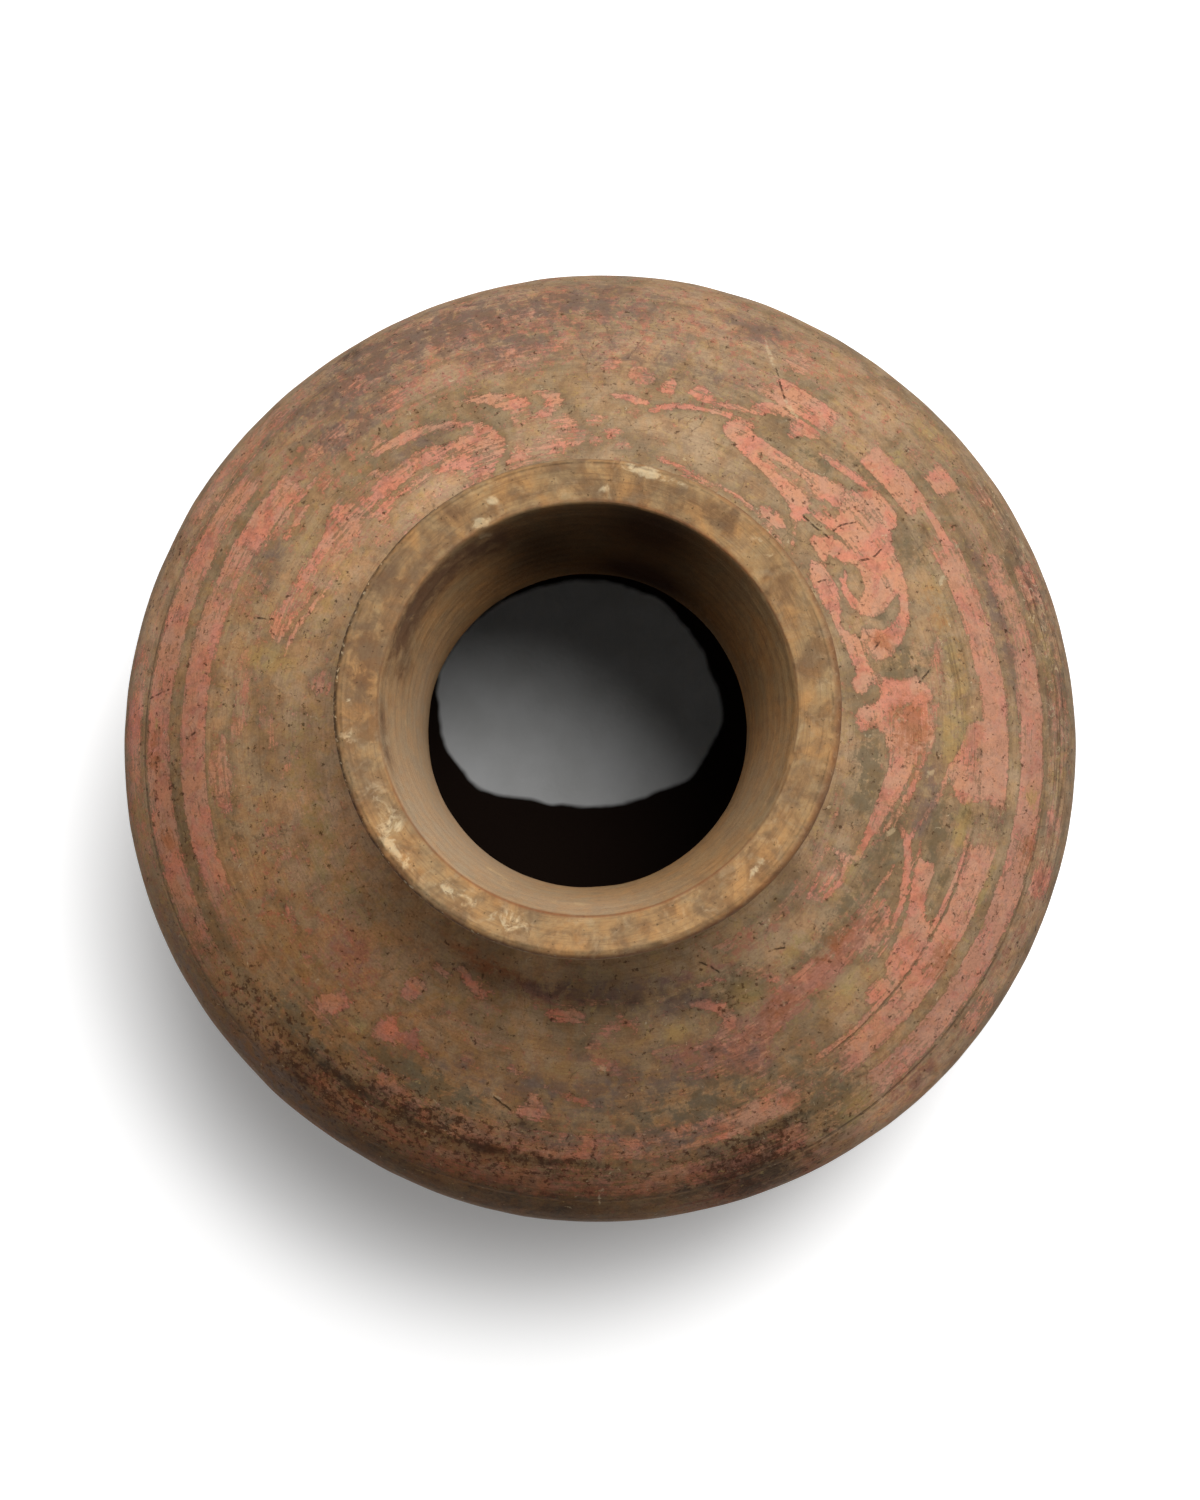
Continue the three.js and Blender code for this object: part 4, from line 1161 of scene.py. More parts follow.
PALE_SCRATCHES = (
    stroke(1, (67.4, 136, 0.4), (65.8, 131.6, 0.7), (64.4, 128.2, 0.4)),
    stroke(1, (60.6, 119.6, 0.3), (59, 117.6, 0.7), (57.4, 116.4, 0.4)),
    stroke(1, (270.2, 144, 0.3), (270.6, 140.2, 0.7)),
    stroke(1, (255.8, 115.9, 0.2), (254, 114.9, 0.4)),
    stroke(1, (271.6, 103.2, 0.8), (270.8, 102.4, 0.8)),
    stroke(1, (24.2, 117.6, 0.9), (23.6, 116, 0.7)),
    stroke(1, (29, 127.6, 0.4), (27.4, 126, 0.5)),
    stroke(1, (341.6, 96, 0.9), (340.8, 95, 0.9)),
    stroke(1, (353.4, 104, 0.8), (352.6, 103, 0.8)),
)


# Fine dark rings: a field's name, radius and half width about the bands' centre, and strength round the jar

LINE_RINGS = (
    ("upper_line", 140.6, 0.3, (
        (0, 0.2), (60, 0.1), (130, 0.1), (165, 0.6), (190, 0.8), (230, 0.9), (280, 0.9), (330, 0.8),
        (350, 0.3))),
    ("middle_line", 119.9, 0.3, (
        (0, 0.05), (200, 0.1), (290, 0.1), (305, 0.2), (307, 0.45), (343, 0.45), (347, 0.1))),
    ("lower_line", 117.6, 0.15, ((0, 0.3), (20, 0.35), (58, 0.45), (63, 0.05), (330, 0.05), (350, 0.2))))


def stained(angles, middles, stains):
    """Strength of all the soft patches together, from 0 to 1."""
    clear = np.ones(angles.shape)
    for degrees, middle, half_angle, half_radius, most in stains:
        turn = (np.degrees(angles) - degrees + 180) % 360 - 180
        clear *= 1 - most * np.exp(-(turn / half_angle) ** 2 - ((middles - middle) / half_radius) ** 2)
    return 1 - clear


def marks_depth(x, y, marks):
    deepest = np.full(x.shape, -REACH)
    for mark in marks:
        deepest = np.maximum(deepest, mark_depth(x, y, mark))
    return deepest


def marks_offset(x, y, marks):
    """Distance to the middle of the nearest stroke, with a sign for its side."""
    nearest = np.full(x.shape, REACH)
    offset = np.full(x.shape, REACH)
    for _, _, places in marks:
        line = on_plan(smooth_path(places, False))
        for start, end in zip(line, line[1:]):
            reach = np.linalg.norm(end - start)
            run = (end - start) / max(reach, 1e-9)
            along = (x - start[0]) * run[0] + (y - start[1]) * run[1]
            side = (y - start[1]) * run[0] - (x - start[0]) * run[1]
            away = np.hypot(side, np.maximum(np.maximum(-along, along - reach), 0))
            closer = away < nearest
            nearest = np.where(closer, away, nearest)
            offset = np.where(closer, side, offset)
    return offset


def stain_throat(piece):
    """Leaves the stains and painted shade of the mouth's inner wall on a piece as fields for its finish."""
    _, _, z, _, angles = mesh_places(piece)
    for name, stains in THROAT_STAINS_AND_SHADE:
        keep_field(piece, name, stained(angles, z, stains))


def paint_shoulder(piece):
    """Leaves the painted marks, stains, painted light and shade, and scratches on the shoulder's mesh as
    fields for its finish.
    """
    x, y, _, radius, angles = mesh_places(piece)
    outside = ~faces_axis(piece)
    coat = Coat(x, y)
    for mark in FRIEZE:
        coat.lay(mark)
    keep_field(piece, "paint", np.where(outside, coat.depth, -REACH))
    keep_field(piece, "keep", coat.keep)
    for name, _, _, left in (*BANDS, *LINE_RINGS):
        keep_field(piece, name, round_values(angles, left))
    for name, stains in STAINS_LIGHT_AND_SHADE:
        keep_field(piece, name, stained(angles, radius, stains) * outside)
    keep_field(piece, "scratch", marks_depth(x, y, DARK_SCRATCHES))
    keep_field(piece, "offset", marks_offset(x, y, DARK_SCRATCHES))
    keep_field(piece, "pale", marks_depth(x, y, PALE_SCRATCHES))
    keep_field(piece, "inner", 1.0 - outside)
    stain_throat(piece)


# Finishes, built from nodes, and the tints that they multiply their colours by

WARMER = (1.14, 0.95, 0.78, 1)
RUSTIER = (1.12, 0.97, 0.82, 1)
GREYER = (0.93, 1.02, 1.12, 1)
LIGHTER = (1.55, 1.52, 1.66, 1)
DARKER = (0.42, 0.38, 0.34, 1)
WASHED = (0.96, 0.98, 1.03, 1)
GRAIN_DARK = (0.3, 0.28, 0.26, 1)
WHITE = (1, 1, 1, 1)
PLAN = (1.0, 1.0, 0.0)
STREAK_RADIUS = 100
STREAK_ROUGHNESS = 0.6
STAIN_SPREAD = 7.0
SCRATCH_HALF_WIDTH = 0.24
OPEN_THROAT = ((THROAT_HEIGHT - 6) * MM, (THROAT_HEIGHT + 3) * MM)
FOOT_WEAR = (1 * MM, 4 * MM)
FOOT_WEAR_RAGGED = 2 * MM
SILT_CLOUD = paint_colour(226, 226, 224)


class Finish(Nodes):
    """A material and the nodes that colour it. Sizes are in millimetres."""

    def __init__(self, name):
        self.colours = bpy.context.scene.jar_colours
        self.material = bpy.data.materials.new(name)
        self.material.use_nodes = True
        super().__init__(self.material.node_tree)
        self.shader = self.tree.nodes["Principled BSDF"]
        self.places = self.add("ShaderNodeTexCoord").outputs["Object"]

    def field(self, name):
        return self.add("ShaderNodeAttribute", attribute_name=name).outputs["Fac"]

    def level(self):
        return self.apart(self.places)["Z"]

    def noise(self, grain, detail, roughness, warp=0.0):
        """Noise of about 0 to 1 with lumps of the given size."""
        return self.add("ShaderNodeTexNoise", {
            "Vector": self.places, "Scale": 1 / (grain * MM), "Detail": detail,
            "Roughness": roughness, "Distortion": warp}).outputs[0]

    def lumps(self, low, high, *grain):
        """Patches where a noise rises from low to high."""
        return self.rise(self.noise(*grain), low, high)

    def streaks(self, length, width, lean, detail=4.0):
        """Noise in streaks of the given length and width that run round the axis."""
        flat = self.vector("MULTIPLY", self.places, PLAN)
        across = self.plus(self.distance(flat, (0.0, 0.0, 0.0)), self.times(self.level(), lean))
        around = self.scaled(self.vector("NORMALIZE", flat), STREAK_RADIUS / length)
        lift = self.joined(z=self.times(across, 1 / (width * MM)))
        return self.add("ShaderNodeTexNoise", {
            "Vector": self.vector("ADD", around, lift), "Scale": 1.0, "Detail": detail,
            "Roughness": STREAK_ROUGHNESS}).outputs[0]

    def ridges(self, low, high, *streak):
        """Lines where a streaky noise rises from low to high."""
        return self.rise(self.streaks(*streak), low, high)

    def cells(self, size, width):
        """Thin lines between uneven cells; width is a share of a cell."""
        stirred = self.add("ShaderNodeTexNoise", {
            "Vector": self.places, "Scale": 2 / (size * MM), "Detail": 4.0})
        shift = self.scaled(stirred.outputs["Color"], 0.5 * size * MM)
        edges = self.add("ShaderNodeTexVoronoi", {
            "Vector": self.vector("ADD", self.places, shift), "Scale": 1 / (size * MM)},
            feature="DISTANCE_TO_EDGE").outputs["Distance"]
        return self.less(1.0, self.rise(edges, 0.4 * width, width))

    def broken(self, name, noise, low, high, spread=STAIN_SPREAD):
        """A stain's field broken up by noise."""
        lumps = self.plus(self.swing(noise, spread), 1.0)
        return self.rise(self.times(self.field(name), lumps), low, high)

    def blend(self, share, first, second, mode="MIX"):
        """Two colours mixed. A word names one of the panel's colours."""
        node = self.add("ShaderNodeMix", {0: share}, data_type="RGBA", blend_type=mode)
        for index, colour in ((6, first), (7, second)):
            value = getattr(self.colours, colour) if isinstance(colour, str) else colour
            self.feed(node.inputs[index], value)
        return node.outputs[2]

    def layered(self, colour, *layers):
        """A colour under others, one over the next. Layers are (where, how strongly, colour)."""
        for mask, amount, tint in layers:
            colour = self.blend(self.times(mask, amount), colour, tint)
        return colour

    def relief(self, *layers):
        """Bumps over each other. Layers are (height of 0 to 1, depth)."""
        normal = None
        for height, depth in layers:
            bump = self.add("ShaderNodeBump", {"Height": height, "Distance": depth * MM, "Strength": 1.0})
            if normal is not None:
                self.feed(bump.inputs["Normal"], normal)
            normal = bump.outputs[0]
        return normal

    def dressed(self, inputs):
        """The material, with its shader's inputs set."""
        for label, value in inputs.items():
            self.feed(self.shader.inputs[label], value)
        return self.material


def burnished_ground(finish, lean):
    """Colour of the old burnished clay, with its mottling, streaks and grain."""
    calm = finish.share(finish.field("warm"), 0.0, 0.9, 1.0, 0.55)
    cloud = finish.times(finish.lumps(0.49, 0.62, 12, 8, 0.65, 0.4), calm)
    green = finish.times(finish.lumps(0.5, 0.63, 24, 5, 0.6), calm)
    return finish.layered(
        finish.blend(finish.lumps(0.46, 0.64, 38, 4, 0.5), "olive", "tan"),
        (cloud, 0.45, "umber"),
        (finish.lumps(0.48, 0.59, 2.7, 8, 0.75), 0.3, "umber"),
        (finish.lumps(0.53, 0.62, 3.6, 7, 0.7, 0.6), 0.4, "ochre"),
        (finish.ridges(0.5, 0.63, 26, 1.6, lean), 0.22, "tan"),
        (green, 0.4, "moss"),
        (finish.ridges(0.51, 0.63, 14, 0.7, lean), 0.24, "umber"),
        (finish.ridges(0.63, 0.7, 60, 0.35, lean, 2.0), 0.15, "soot"))


def grained(finish, colour, amount):
    """A colour broken up by the grain of the clay, rusty in places and grey in others."""
    tint = finish.blend(finish.lumps(0.4, 0.6, 6, 7, 0.64, 0.4), GREYER, RUSTIER)
    colour = finish.blend(finish.sum("MULTIPLY", amount, 3.0, clamp=True), colour, tint, "MULTIPLY")
    grain = finish.blend(finish.lumps(0.4, 0.58, 0.8, 4, 0.7), GRAIN_DARK, WHITE)
    return finish.blend(amount, colour, grain, "MULTIPLY")


def wear_order(finish, lean):
    """0 to 1, spread about evenly: the order in which places lose their paint."""
    lumps = finish.times(finish.noise(8, 4, 0.55, 0.3), 0.26)
    grit = finish.times(finish.noise(1.5, 8, 0.78), 0.42)
    drawn = finish.times(finish.streaks(18, 0.9, lean, 5.0), 0.32)
    return finish.share(finish.plus(finish.plus(lumps, grit), drawn), 0.435, 0.57)


class Paint:
    """Where the paint lies in a finish, and how much of it wear has left."""

    def __init__(self, finish, lean):
        self.find_depth(finish)
        reach = finish.share(self.keep, 0.4, 1.0, 10.0, 3.4)
        reach = finish.plus(reach, finish.times(finish.field("warm"), 4.0))
        drawn = finish.times(finish.streaks(12, 0.9, lean, 5.0), 0.6)
        frayed = finish.plus(finish.noise(1.7, 8, 0.75), drawn)
        self.edge = finish.plus(self.depth, finish.times(finish.less(frayed, 0.8), reach))
        self.order = wear_order(finish, lean)
        left = finish.less(finish.share(self.keep, 0.28, 1.0), self.order)
        coat = finish.times(finish.rise(self.edge, -0.15, 0.2), finish.rise(left, -0.05, 0.06))
        self.coat = finish.times(coat, finish.share(self.keep, 0.3, 0.85, 0.6, 0.96))

    def find_depth(self, finish):
        """Radius about the bands' centre, depth inside the marks and bands, and the share of paint left."""
        centre = (BAND_CENTRE[0] * MM, BAND_CENTRE[1] * MM, 0.0)
        away = finish.distance(finish.vector("MULTIPLY", finish.places, PLAN), centre)
        self.radius = finish.sum("DIVIDE", away, MM)
        self.depth = finish.field("paint")
        self.keep = finish.field("keep")
        unsteady = finish.share(finish.field("faded"), 0.0, 0.8, 0.2, 0.4)
        wander = finish.swing(finish.noise(9, 5, 0.6), unsteady)
        for name, inner, outer, _ in BANDS:
            across = finish.sum("MINIMUM", finish.less(self.radius, inner), finish.less(outer, self.radius))
            across = finish.plus(across, finish.times(wander, outer - inner))
            wins = finish.sum("GREATER_THAN", across, self.depth)
            marked = finish.times(self.keep, finish.sum("GREATER_THAN", self.depth, 0.0))
            best = finish.sum("MAXIMUM", finish.field(name), marked)
            self.keep = finish.plus(self.keep, finish.times(wins, finish.less(best, self.keep)))
            self.depth = finish.sum("MAXIMUM", self.depth, across)


def ground_by_paint(finish, paint, ground):
    """The ground with what the paint leaves on it: a mossy halo, a thin film, dirty edges and crumbs."""
    beside = finish.less(finish.rise(paint.depth, -3.4, -0.4), finish.rise(paint.depth, -0.6, 0.8))
    worn_off = finish.rise(finish.less(finish.times(paint.keep, 1.3), paint.order), -0.15, 0.55)
    worn_off = finish.times(worn_off, finish.rise(paint.keep, 0.02, 0.2))
    bare = finish.times(finish.rise(paint.edge, -0.3, 0.5), finish.less(1.0, paint.coat))
    dirty = finish.less(finish.rise(paint.edge, -0.8, -0.15), finish.rise(paint.edge, -0.15, 0.25))
    crumbs = finish.plus(finish.noise(3.4, 8, 0.78), finish.times(finish.field("flecked"), 0.1))
    return finish.layered(
        ground,
        (finish.times(beside, finish.lumps(0.35, 0.6, 7, 5, 0.6)), 0.45, "moss"),
        (finish.times(bare, worn_off), 0.8, "film"),
        (finish.times(dirty, paint.keep), 0.4, "umber"),
        (finish.rise(crumbs, 0.6, 0.64), 0.75, "brick"))


def red_paint(finish):
    """Colour of the red paint, dusty and faded in places."""
    return finish.layered(
        finish.blend(finish.lumps(0.46, 0.6, 7, 7, 0.66), "salmon", "brick"),
        (finish.lumps(0.42, 0.56, 11, 7, 0.64, 0.6), 0.8, "sand"),
        (finish.lumps(0.52, 0.64, 2.6, 7, 0.72), 0.28, "brick"),
        (finish.broken("faded", finish.noise(6, 7, 0.7), 0.1, 1.2), 1.0, "faded"))


def crusted(finish, paint, colour, lean):
    """A colour under clots, baked crust, chalk, specks, cracks and lime."""
    grit = finish.plus(finish.noise(2.0, 6, 0.7), finish.times(finish.field("crust"), 0.12))
    rim = finish.field("rim_crust")
    chalk = finish.plus(finish.noise(2.6, 6, 0.7, 0.8), finish.times(rim, 0.09))
    cluster = finish.swing(finish.noise(16, 4, 0.55), 0.5)
    specks = finish.rise(finish.plus(finish.noise(1.1, 3, 0.5), cluster), 0.7, 0.76)
    return finish.layered(
        colour,
        (finish.rise(grit, 0.59, 0.66), 0.75, "clot"),
        (finish.times(rim, finish.lumps(0.42, 0.56, 4, 8, 0.72, 0.5)), 0.75, "baked"),
        (finish.times(rim, finish.ridges(0.5, 0.6, 22, 1.3, lean, 6.0)), 0.7, "clot"),
        (finish.rise(chalk, 0.64, 0.7), 0.55, "pale"),
        (specks, finish.share(paint.coat, 0.0, 1.0, 0.35, 0.12), "soot"),
        (finish.times(finish.cells(15, 0.014), finish.lumps(0.56, 0.62, 9, 4, 0.5)), 0.3, "soot"),
        (finish.lumps(0.66, 0.72, 3.1, 4, 0.6), 0.5, "ochre"))


def scratches(finish, paint, coarse):
    """Where the dark scratches, the pale scratches and the fine rings show."""
    fray = finish.swing(finish.noise(1.2, 5, 0.65), 3.0)
    wavering = finish.plus(finish.field("offset"), finish.times(fray, 0.35))
    thin = finish.less(SCRATCH_HALF_WIDTH, finish.sum("ABSOLUTE", wavering))
    dark = finish.times(finish.rise(thin, -0.1, 0.08), finish.rise(finish.field("scratch"), -0.7, -0.3))
    dark = finish.times(dark, finish.lumps(0.36, 0.52, 2.2, 4, 0.6))
    pale = finish.rise(finish.plus(finish.field("pale"), fray), -0.2, 0.4)
    lines = 0.0
    for name, ring, half_width, _ in LINE_RINGS:
        away = finish.sum("ABSOLUTE", finish.less(paint.radius, ring))
        cut = finish.rise(finish.less(half_width, away), -0.2, 0.15)
        lines = finish.sum("MAXIMUM", lines, finish.times(cut, finish.field(name)))
    return dark, pale, finish.times(lines, finish.rise(coarse, 0.38, 0.54))


def painted_finish(name, lean):
    """Burnished ground under flaking red paint, stains, soot and scratches, with painted light and shade
    multiplied in.
    """
    finish = Finish(name)
    paint = Paint(finish, lean)
    warm = finish.field("warm")
    ground = ground_by_paint(finish, paint, burnished_ground(finish, lean))
    ground = finish.blend(warm, ground, WARMER, "MULTIPLY")
    red = finish.blend(finish.times(warm, 0.5), red_paint(finish), WARMER, "MULTIPLY")
    colour = finish.blend(paint.coat, ground, red)
    # Painted light and painted shade: the light field lifts the neck's shadow and lays a sheen on the rim,
    # the shade field darkens the side away from the key lamp; both also hold paler and darker clay
    colour = finish.blend(finish.field("light"), colour, LIGHTER, "MULTIPLY")
    colour = finish.blend(finish.field("shade"), colour, DARKER, "MULTIPLY")
    drawn = finish.swing(finish.streaks(16, 1.0, lean), 0.25)
    coarse = finish.plus(finish.noise(5, 9, 0.74, 0.5), drawn)
    colour = finish.layered(
        colour,
        (finish.lumps(0.54, 0.62, 3.4, 8, 0.74, 0.4), 0.3, "umber"),
        (finish.broken("veil", coarse, 0.28, 0.6), 0.72, "veil"),
        (finish.broken("plum", coarse, 0.08, 0.72), 0.8, "plum"),
        (finish.broken("moss", coarse, 0.12, 0.66), 0.75, "moss"),
        (finish.broken("ochre", coarse, 0.12, 0.66), 0.62, "ochre"),
        (finish.broken("rust", coarse, 0.08, 0.72), 0.7, "rust"),
        (finish.broken("soot", coarse, 0.05, 1.0, 4.0), 0.85, "soot"))
    colour = crusted(finish, paint, colour, lean)
    dark, pale, lines = scratches(finish, paint, coarse)
    colour = finish.layered(
        colour, (lines, 0.7, "umber"), (pale, 0.45, "pale"), (dark, 0.75, "soot"))
    colour = grained(finish, colour, finish.share(warm, 0.0, 0.9, 0.14, 0.26))
    colour = finish.blend(1.0, colour, WASHED, "MULTIPLY")
    colour = finish.blend(finish.field("inner"), colour, throat_colour(finish))
    relief = finish.relief(
        (finish.noise(1.1, 5, 0.65), 0.2), (finish.noise(5, 4, 0.5), 0.3), (paint.coat, 0.07),
        (finish.less(1.0, finish.sum("MAXIMUM", dark, lines)), 0.3))
    roughness = finish.share(paint.coat, 0.0, 1.0, 0.66, 0.85)
    return finish.dressed({
        "Base Color": colour, "Roughness": roughness, "Specular IOR Level": 0.06, "Normal": relief})


def throat_colour(finish):
    """Rubbed tan clay of the mouth's inner wall, stained under the lip, with painted shade where it turns
    from the key lamp, and near black inside the body, standing for soot and the shade there.
    """
    coarse = finish.noise(6, 8, 0.7, 0.4)
    colour = finish.layered(
        finish.blend(finish.lumps(0.42, 0.6, 22, 5, 0.6), "throat", "lip_tan"),
        (finish.ridges(0.47, 0.62, 40, 1.0, 1.0, 6.0), 0.3, "umber"),
        (finish.ridges(0.5, 0.7, 9, 26, 1.0, 3.0), 0.25, "umber"),
        (finish.lumps(0.48, 0.6, 4, 8, 0.72), 0.35, "umber"),
        (finish.field("throat_dust"), 1.0, "dust"),
        (finish.broken("throat_plum", coarse, 0.0, 0.9, 3.5), 0.84, "throat_stain"),
        (finish.broken("throat_pale", coarse, 0.2, 0.8), 0.6, "pale"),
        # Painted shade: this field turns the wall near black where it faces away from the key lamp
        (finish.share(finish.field("throat_soot"), 0.05, 0.9, 0.0, 0.99), 1.0, "inside"))
    # Below the throat the wall takes the near-black inside colour, which paints the shade deep in the body
    # along with soot
    open_part = finish.rise(finish.level(), *OPEN_THROAT)
    return finish.blend(open_part, "inside", colour)


def neck_finish(name):
    """Burnished clay outside and a rubbed tan throat inside."""
    finish = Finish(name)
    outside = burnished_ground(finish, 1.0)
    colour = finish.blend(finish.field("inner"), outside, throat_colour(finish))
    relief = finish.relief((finish.noise(1.2, 5, 0.65), 0.14), (finish.streaks(40, 1.2, 1.0), 0.15))
    return finish.dressed({
        "Base Color": grained(finish, colour, 0.12), "Roughness": 0.75, "Specular IOR Level": 0.08,
        "Normal": relief})


def lip_finish(name):
    """Rubbed tan clay, mottled brown and cream, with fine lines round it and a dark outer edge of grime and
    painted shadow.
    """
    finish = Finish(name)
    rubbed = finish.streaks(24, 1.0, 1.0, 6.0)
    coarse = finish.noise(5, 7, 0.66, 0.5)
    # The dark outer edge is grime and painted shadow under the lip's edge
    dark_edge = finish.field("edge_dirt")
    outline = finish.sum("MAXIMUM", finish.field("groove"), dark_edge)
    colour = finish.layered(
        finish.blend(finish.lumps(0.42, 0.6, 18, 5, 0.6), "lip_tan", "throat"),
        (finish.lumps(0.42, 0.64, 10, 7, 0.64, 0.6), 0.66, "lip_brown"),
        (finish.lumps(0.47, 0.64, 3.2, 8, 0.7), 0.34, "lip_brown"),
        (finish.lumps(0.5, 0.66, 5, 6, 0.62, 0.6), 0.18, "pale"),
        (finish.rise(rubbed, 0.48, 0.64), 0.32, "lip_brown"),
        (finish.broken("brown", coarse, 0.1, 0.9, 4.0), 0.8, "lip_brown"),
        (finish.broken("cream", coarse, 0.3, 0.8), 0.7, "pale"),
        (finish.lumps(0.66, 0.73, 1.3, 3, 0.5), 0.6, "soot"),
        (finish.field("edge"), 0.85, "rim"),
        (finish.times(outline, finish.lumps(0.38, 0.54, 3, 6, 0.7)), 0.85, "soot"),
        (dark_edge, finish.lumps(0.6, 0.66, 1.7, 3, 0.5), "pale"),
        (finish.field("inner"), 1.0, throat_colour(finish)))
    relief = finish.relief((finish.noise(1.3, 6, 0.7), 0.2), (finish.noise(6, 4, 0.5), 0.35), (rubbed, 0.15))
    return finish.dressed({
        "Base Color": grained(finish, colour, 0.14), "Roughness": 0.75, "Specular IOR Level": 0.1,
        "Normal": relief})


def foot_finish(name):
    """Rough grey-brown clay with wear on the standing edge."""
    finish = Finish(name)
    uneven = finish.plus(finish.level(), finish.times(finish.noise(5, 5, 0.55), FOOT_WEAR_RAGGED))
    colour = finish.layered(
        finish.blend(finish.lumps(0.46, 0.62, 16, 7, 0.66), "foot", "umber"),
        (finish.lumps(0.48, 0.6, 3, 7, 0.7), 0.55, "olive"),
        (finish.lumps(0.54, 0.6, 6, 7, 0.7, 0.5), 0.45, "tan"),
        (finish.lumps(0.64, 0.72, 1.3, 3, 0.5), 0.6, "soot"),
        (finish.less(1.0, finish.rise(uneven, *FOOT_WEAR)), 0.6, "ochre"))
    relief = finish.relief((finish.noise(2, 6, 0.7), 0.5))
    return finish.dressed({"Base Color": colour, "Roughness": 0.82, "Normal": relief})


def floor_finish(name):
    """Floor inside near black, as soot and as painted shade, with a pale patch of silt above, and rough clay
    below.
    """
    finish = Finish(name)
    fray = finish.swing(finish.noise(7, 1, 0.5), 2.0)
    silt = finish.rise(finish.plus(finish.field("silt"), fray), -1.2, 0.8)
    cloud = finish.blend(finish.lumps(0.3, 0.7, 20, 4, 0.5), "silt", SILT_CLOUD)
    inside = finish.blend(silt, "inside", cloud)
    under = finish.blend(finish.lumps(0.38, 0.64, 12, 6, 0.6), "foot", "umber")
    colour = finish.blend(finish.field("inner"), under, inside)
    relief = finish.relief((finish.noise(2, 5, 0.6), 0.12))
    return finish.dressed({
        "Base Color": colour, "Roughness": 0.88, "Specular IOR Level": 0.2, "Normal": relief})


def slip_finish(name):
    finish = Finish(name)
    colour = finish.blend(finish.lumps(0.35, 0.65, 3, 5, 0.6), "slip", "foot")
    return finish.dressed({"Base Color": colour, "Roughness": 0.85})


# Pieces, the number of steps round each, and the widths of the lines, grime and painted shadow on the lip in
# millimetres

SHOULDER_TURN = 750
BOWL_TURN = 720
NECK_TURN = 600
LIP_TURN = 720
FOOT_TURN = 480
SLIP_TURN = 180
BOWL_BAND_FOOT = 146
BOWL_BAND_TOP = 154
BOWL_UNROLL = 0.5
LIP_FACE = 6
RIM_LINE = (0.1, 0.45)
RIM_LINE_OUTSIDE = 0.65
RUBBED_EDGE = (LIP_RADIUS - 1.6, LIP_RADIUS - 0.2)
DARK_EDGE = (LIP_RADIUS - 0.9, LIP_RADIUS - 0.2)
DARK_EDGE_DEPTH = 4
DARK_EDGE_BELOW = 0.6
GROOVE_DIRT_WIDTH = 0.3
MOUTH_EDGE = (0.3, 0.9)
FLOOR_SKIN = 1
SILT_EDGE = (
    (-57.5, 19), (-58.5, 33), (-53.5, 45), (-41, 57.5), (-22, 66), (-2, 67.5), (16, 61.5), (25, 53), (32, 43),
    (35, 35), (38, 27), (38.5, 19), (35.5, 13), (31, 5), (26, -1.5), (16.5, -4.5), (8, -8), (-5, -10),
    (-18, -9.3), (-28, -7), (-39, -5.5), (-46, -2), (-51, 4), (-56, 11))


def silt_depth(x, y):
    """Depth inside the ragged patch of silt on the floor, in millimetres."""
    line = smooth_path(SILT_EDGE, True)
    depth = line_depth(x, y, line, np.zeros(len(line)))
    return np.where(within(x, y, line), -depth, depth)


def seat(piece, node):
    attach(piece, "root")
    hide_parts(node)


class JAR_OT_shoulder(bpy.types.Operator):
    """Turns the shoulder and paints its bands and cloud scrolls"""
    bl_idname = "jar.shoulder"
    bl_label = "Painted Shoulder"

    def execute(self, context):
        finish = painted_finish("painted_shoulder", -1.0)
        piece = turned_piece("painted_shoulder", shoulder_outline(), SHOULDER_TURN, finish)
        shift_throat(piece)
        paint_shoulder(piece)
        seat(piece, "shoulder")
        return {"FINISHED"}


class JAR_OT_lower_bowl(bpy.types.Operator):
    """Turns the lower half of the body"""
    bl_idname = "jar.lower_bowl"
    bl_label = "Lower Bowl"

    def execute(self, context):
        finish = painted_finish("burnished_bowl", 1.0)
        piece = turned_piece("burnished_bowl", lower_bowl_outline(), BOWL_TURN, finish)
        _, _, z, _, angles = mesh_places(piece)
        inner = faces_axis(piece)
        band = np.clip(np.minimum(z - BOWL_BAND_FOOT, BOWL_BAND_TOP - z), -REACH, REACH)
        keep_field(piece, "paint", np.where(inner, -REACH, band))
        keep_field(piece, "keep", round_values(angles, BOWL_BAND))
        unrolled = GIRTH_RADIUS + BOWL_UNROLL * (GIRTH_HEIGHT - z)
        # The shoulder's stains and its painted light and shade carry on below the girth
        for name, stains in STAINS_LIGHT_AND_SHADE:
            below = stained(angles, z, BOWL_STAINS.get(name, ()))
            keep_field(piece, name, np.maximum(stained(angles, unrolled, stains), below))
        keep_field(piece, "inner", inner)
        for name in ("scratch", "pale"):
            keep_field(piece, name, np.full(z.shape, -REACH))
        seat(piece, "lower_bowl")
        return {"FINISHED"}


class JAR_OT_neck(bpy.types.Operator):
    """Turns the flared neck"""
    bl_idname = "jar.neck"
    bl_label = "Neck"

    def execute(self, context):
        piece = turned_piece("flared_neck", neck_outline(), NECK_TURN, neck_finish("flared_neck"))
        shift_throat(piece)
        stain_throat(piece)
        keep_field(piece, "inner", faces_axis(piece))
        seat(piece, "neck")
        return {"FINISHED"}


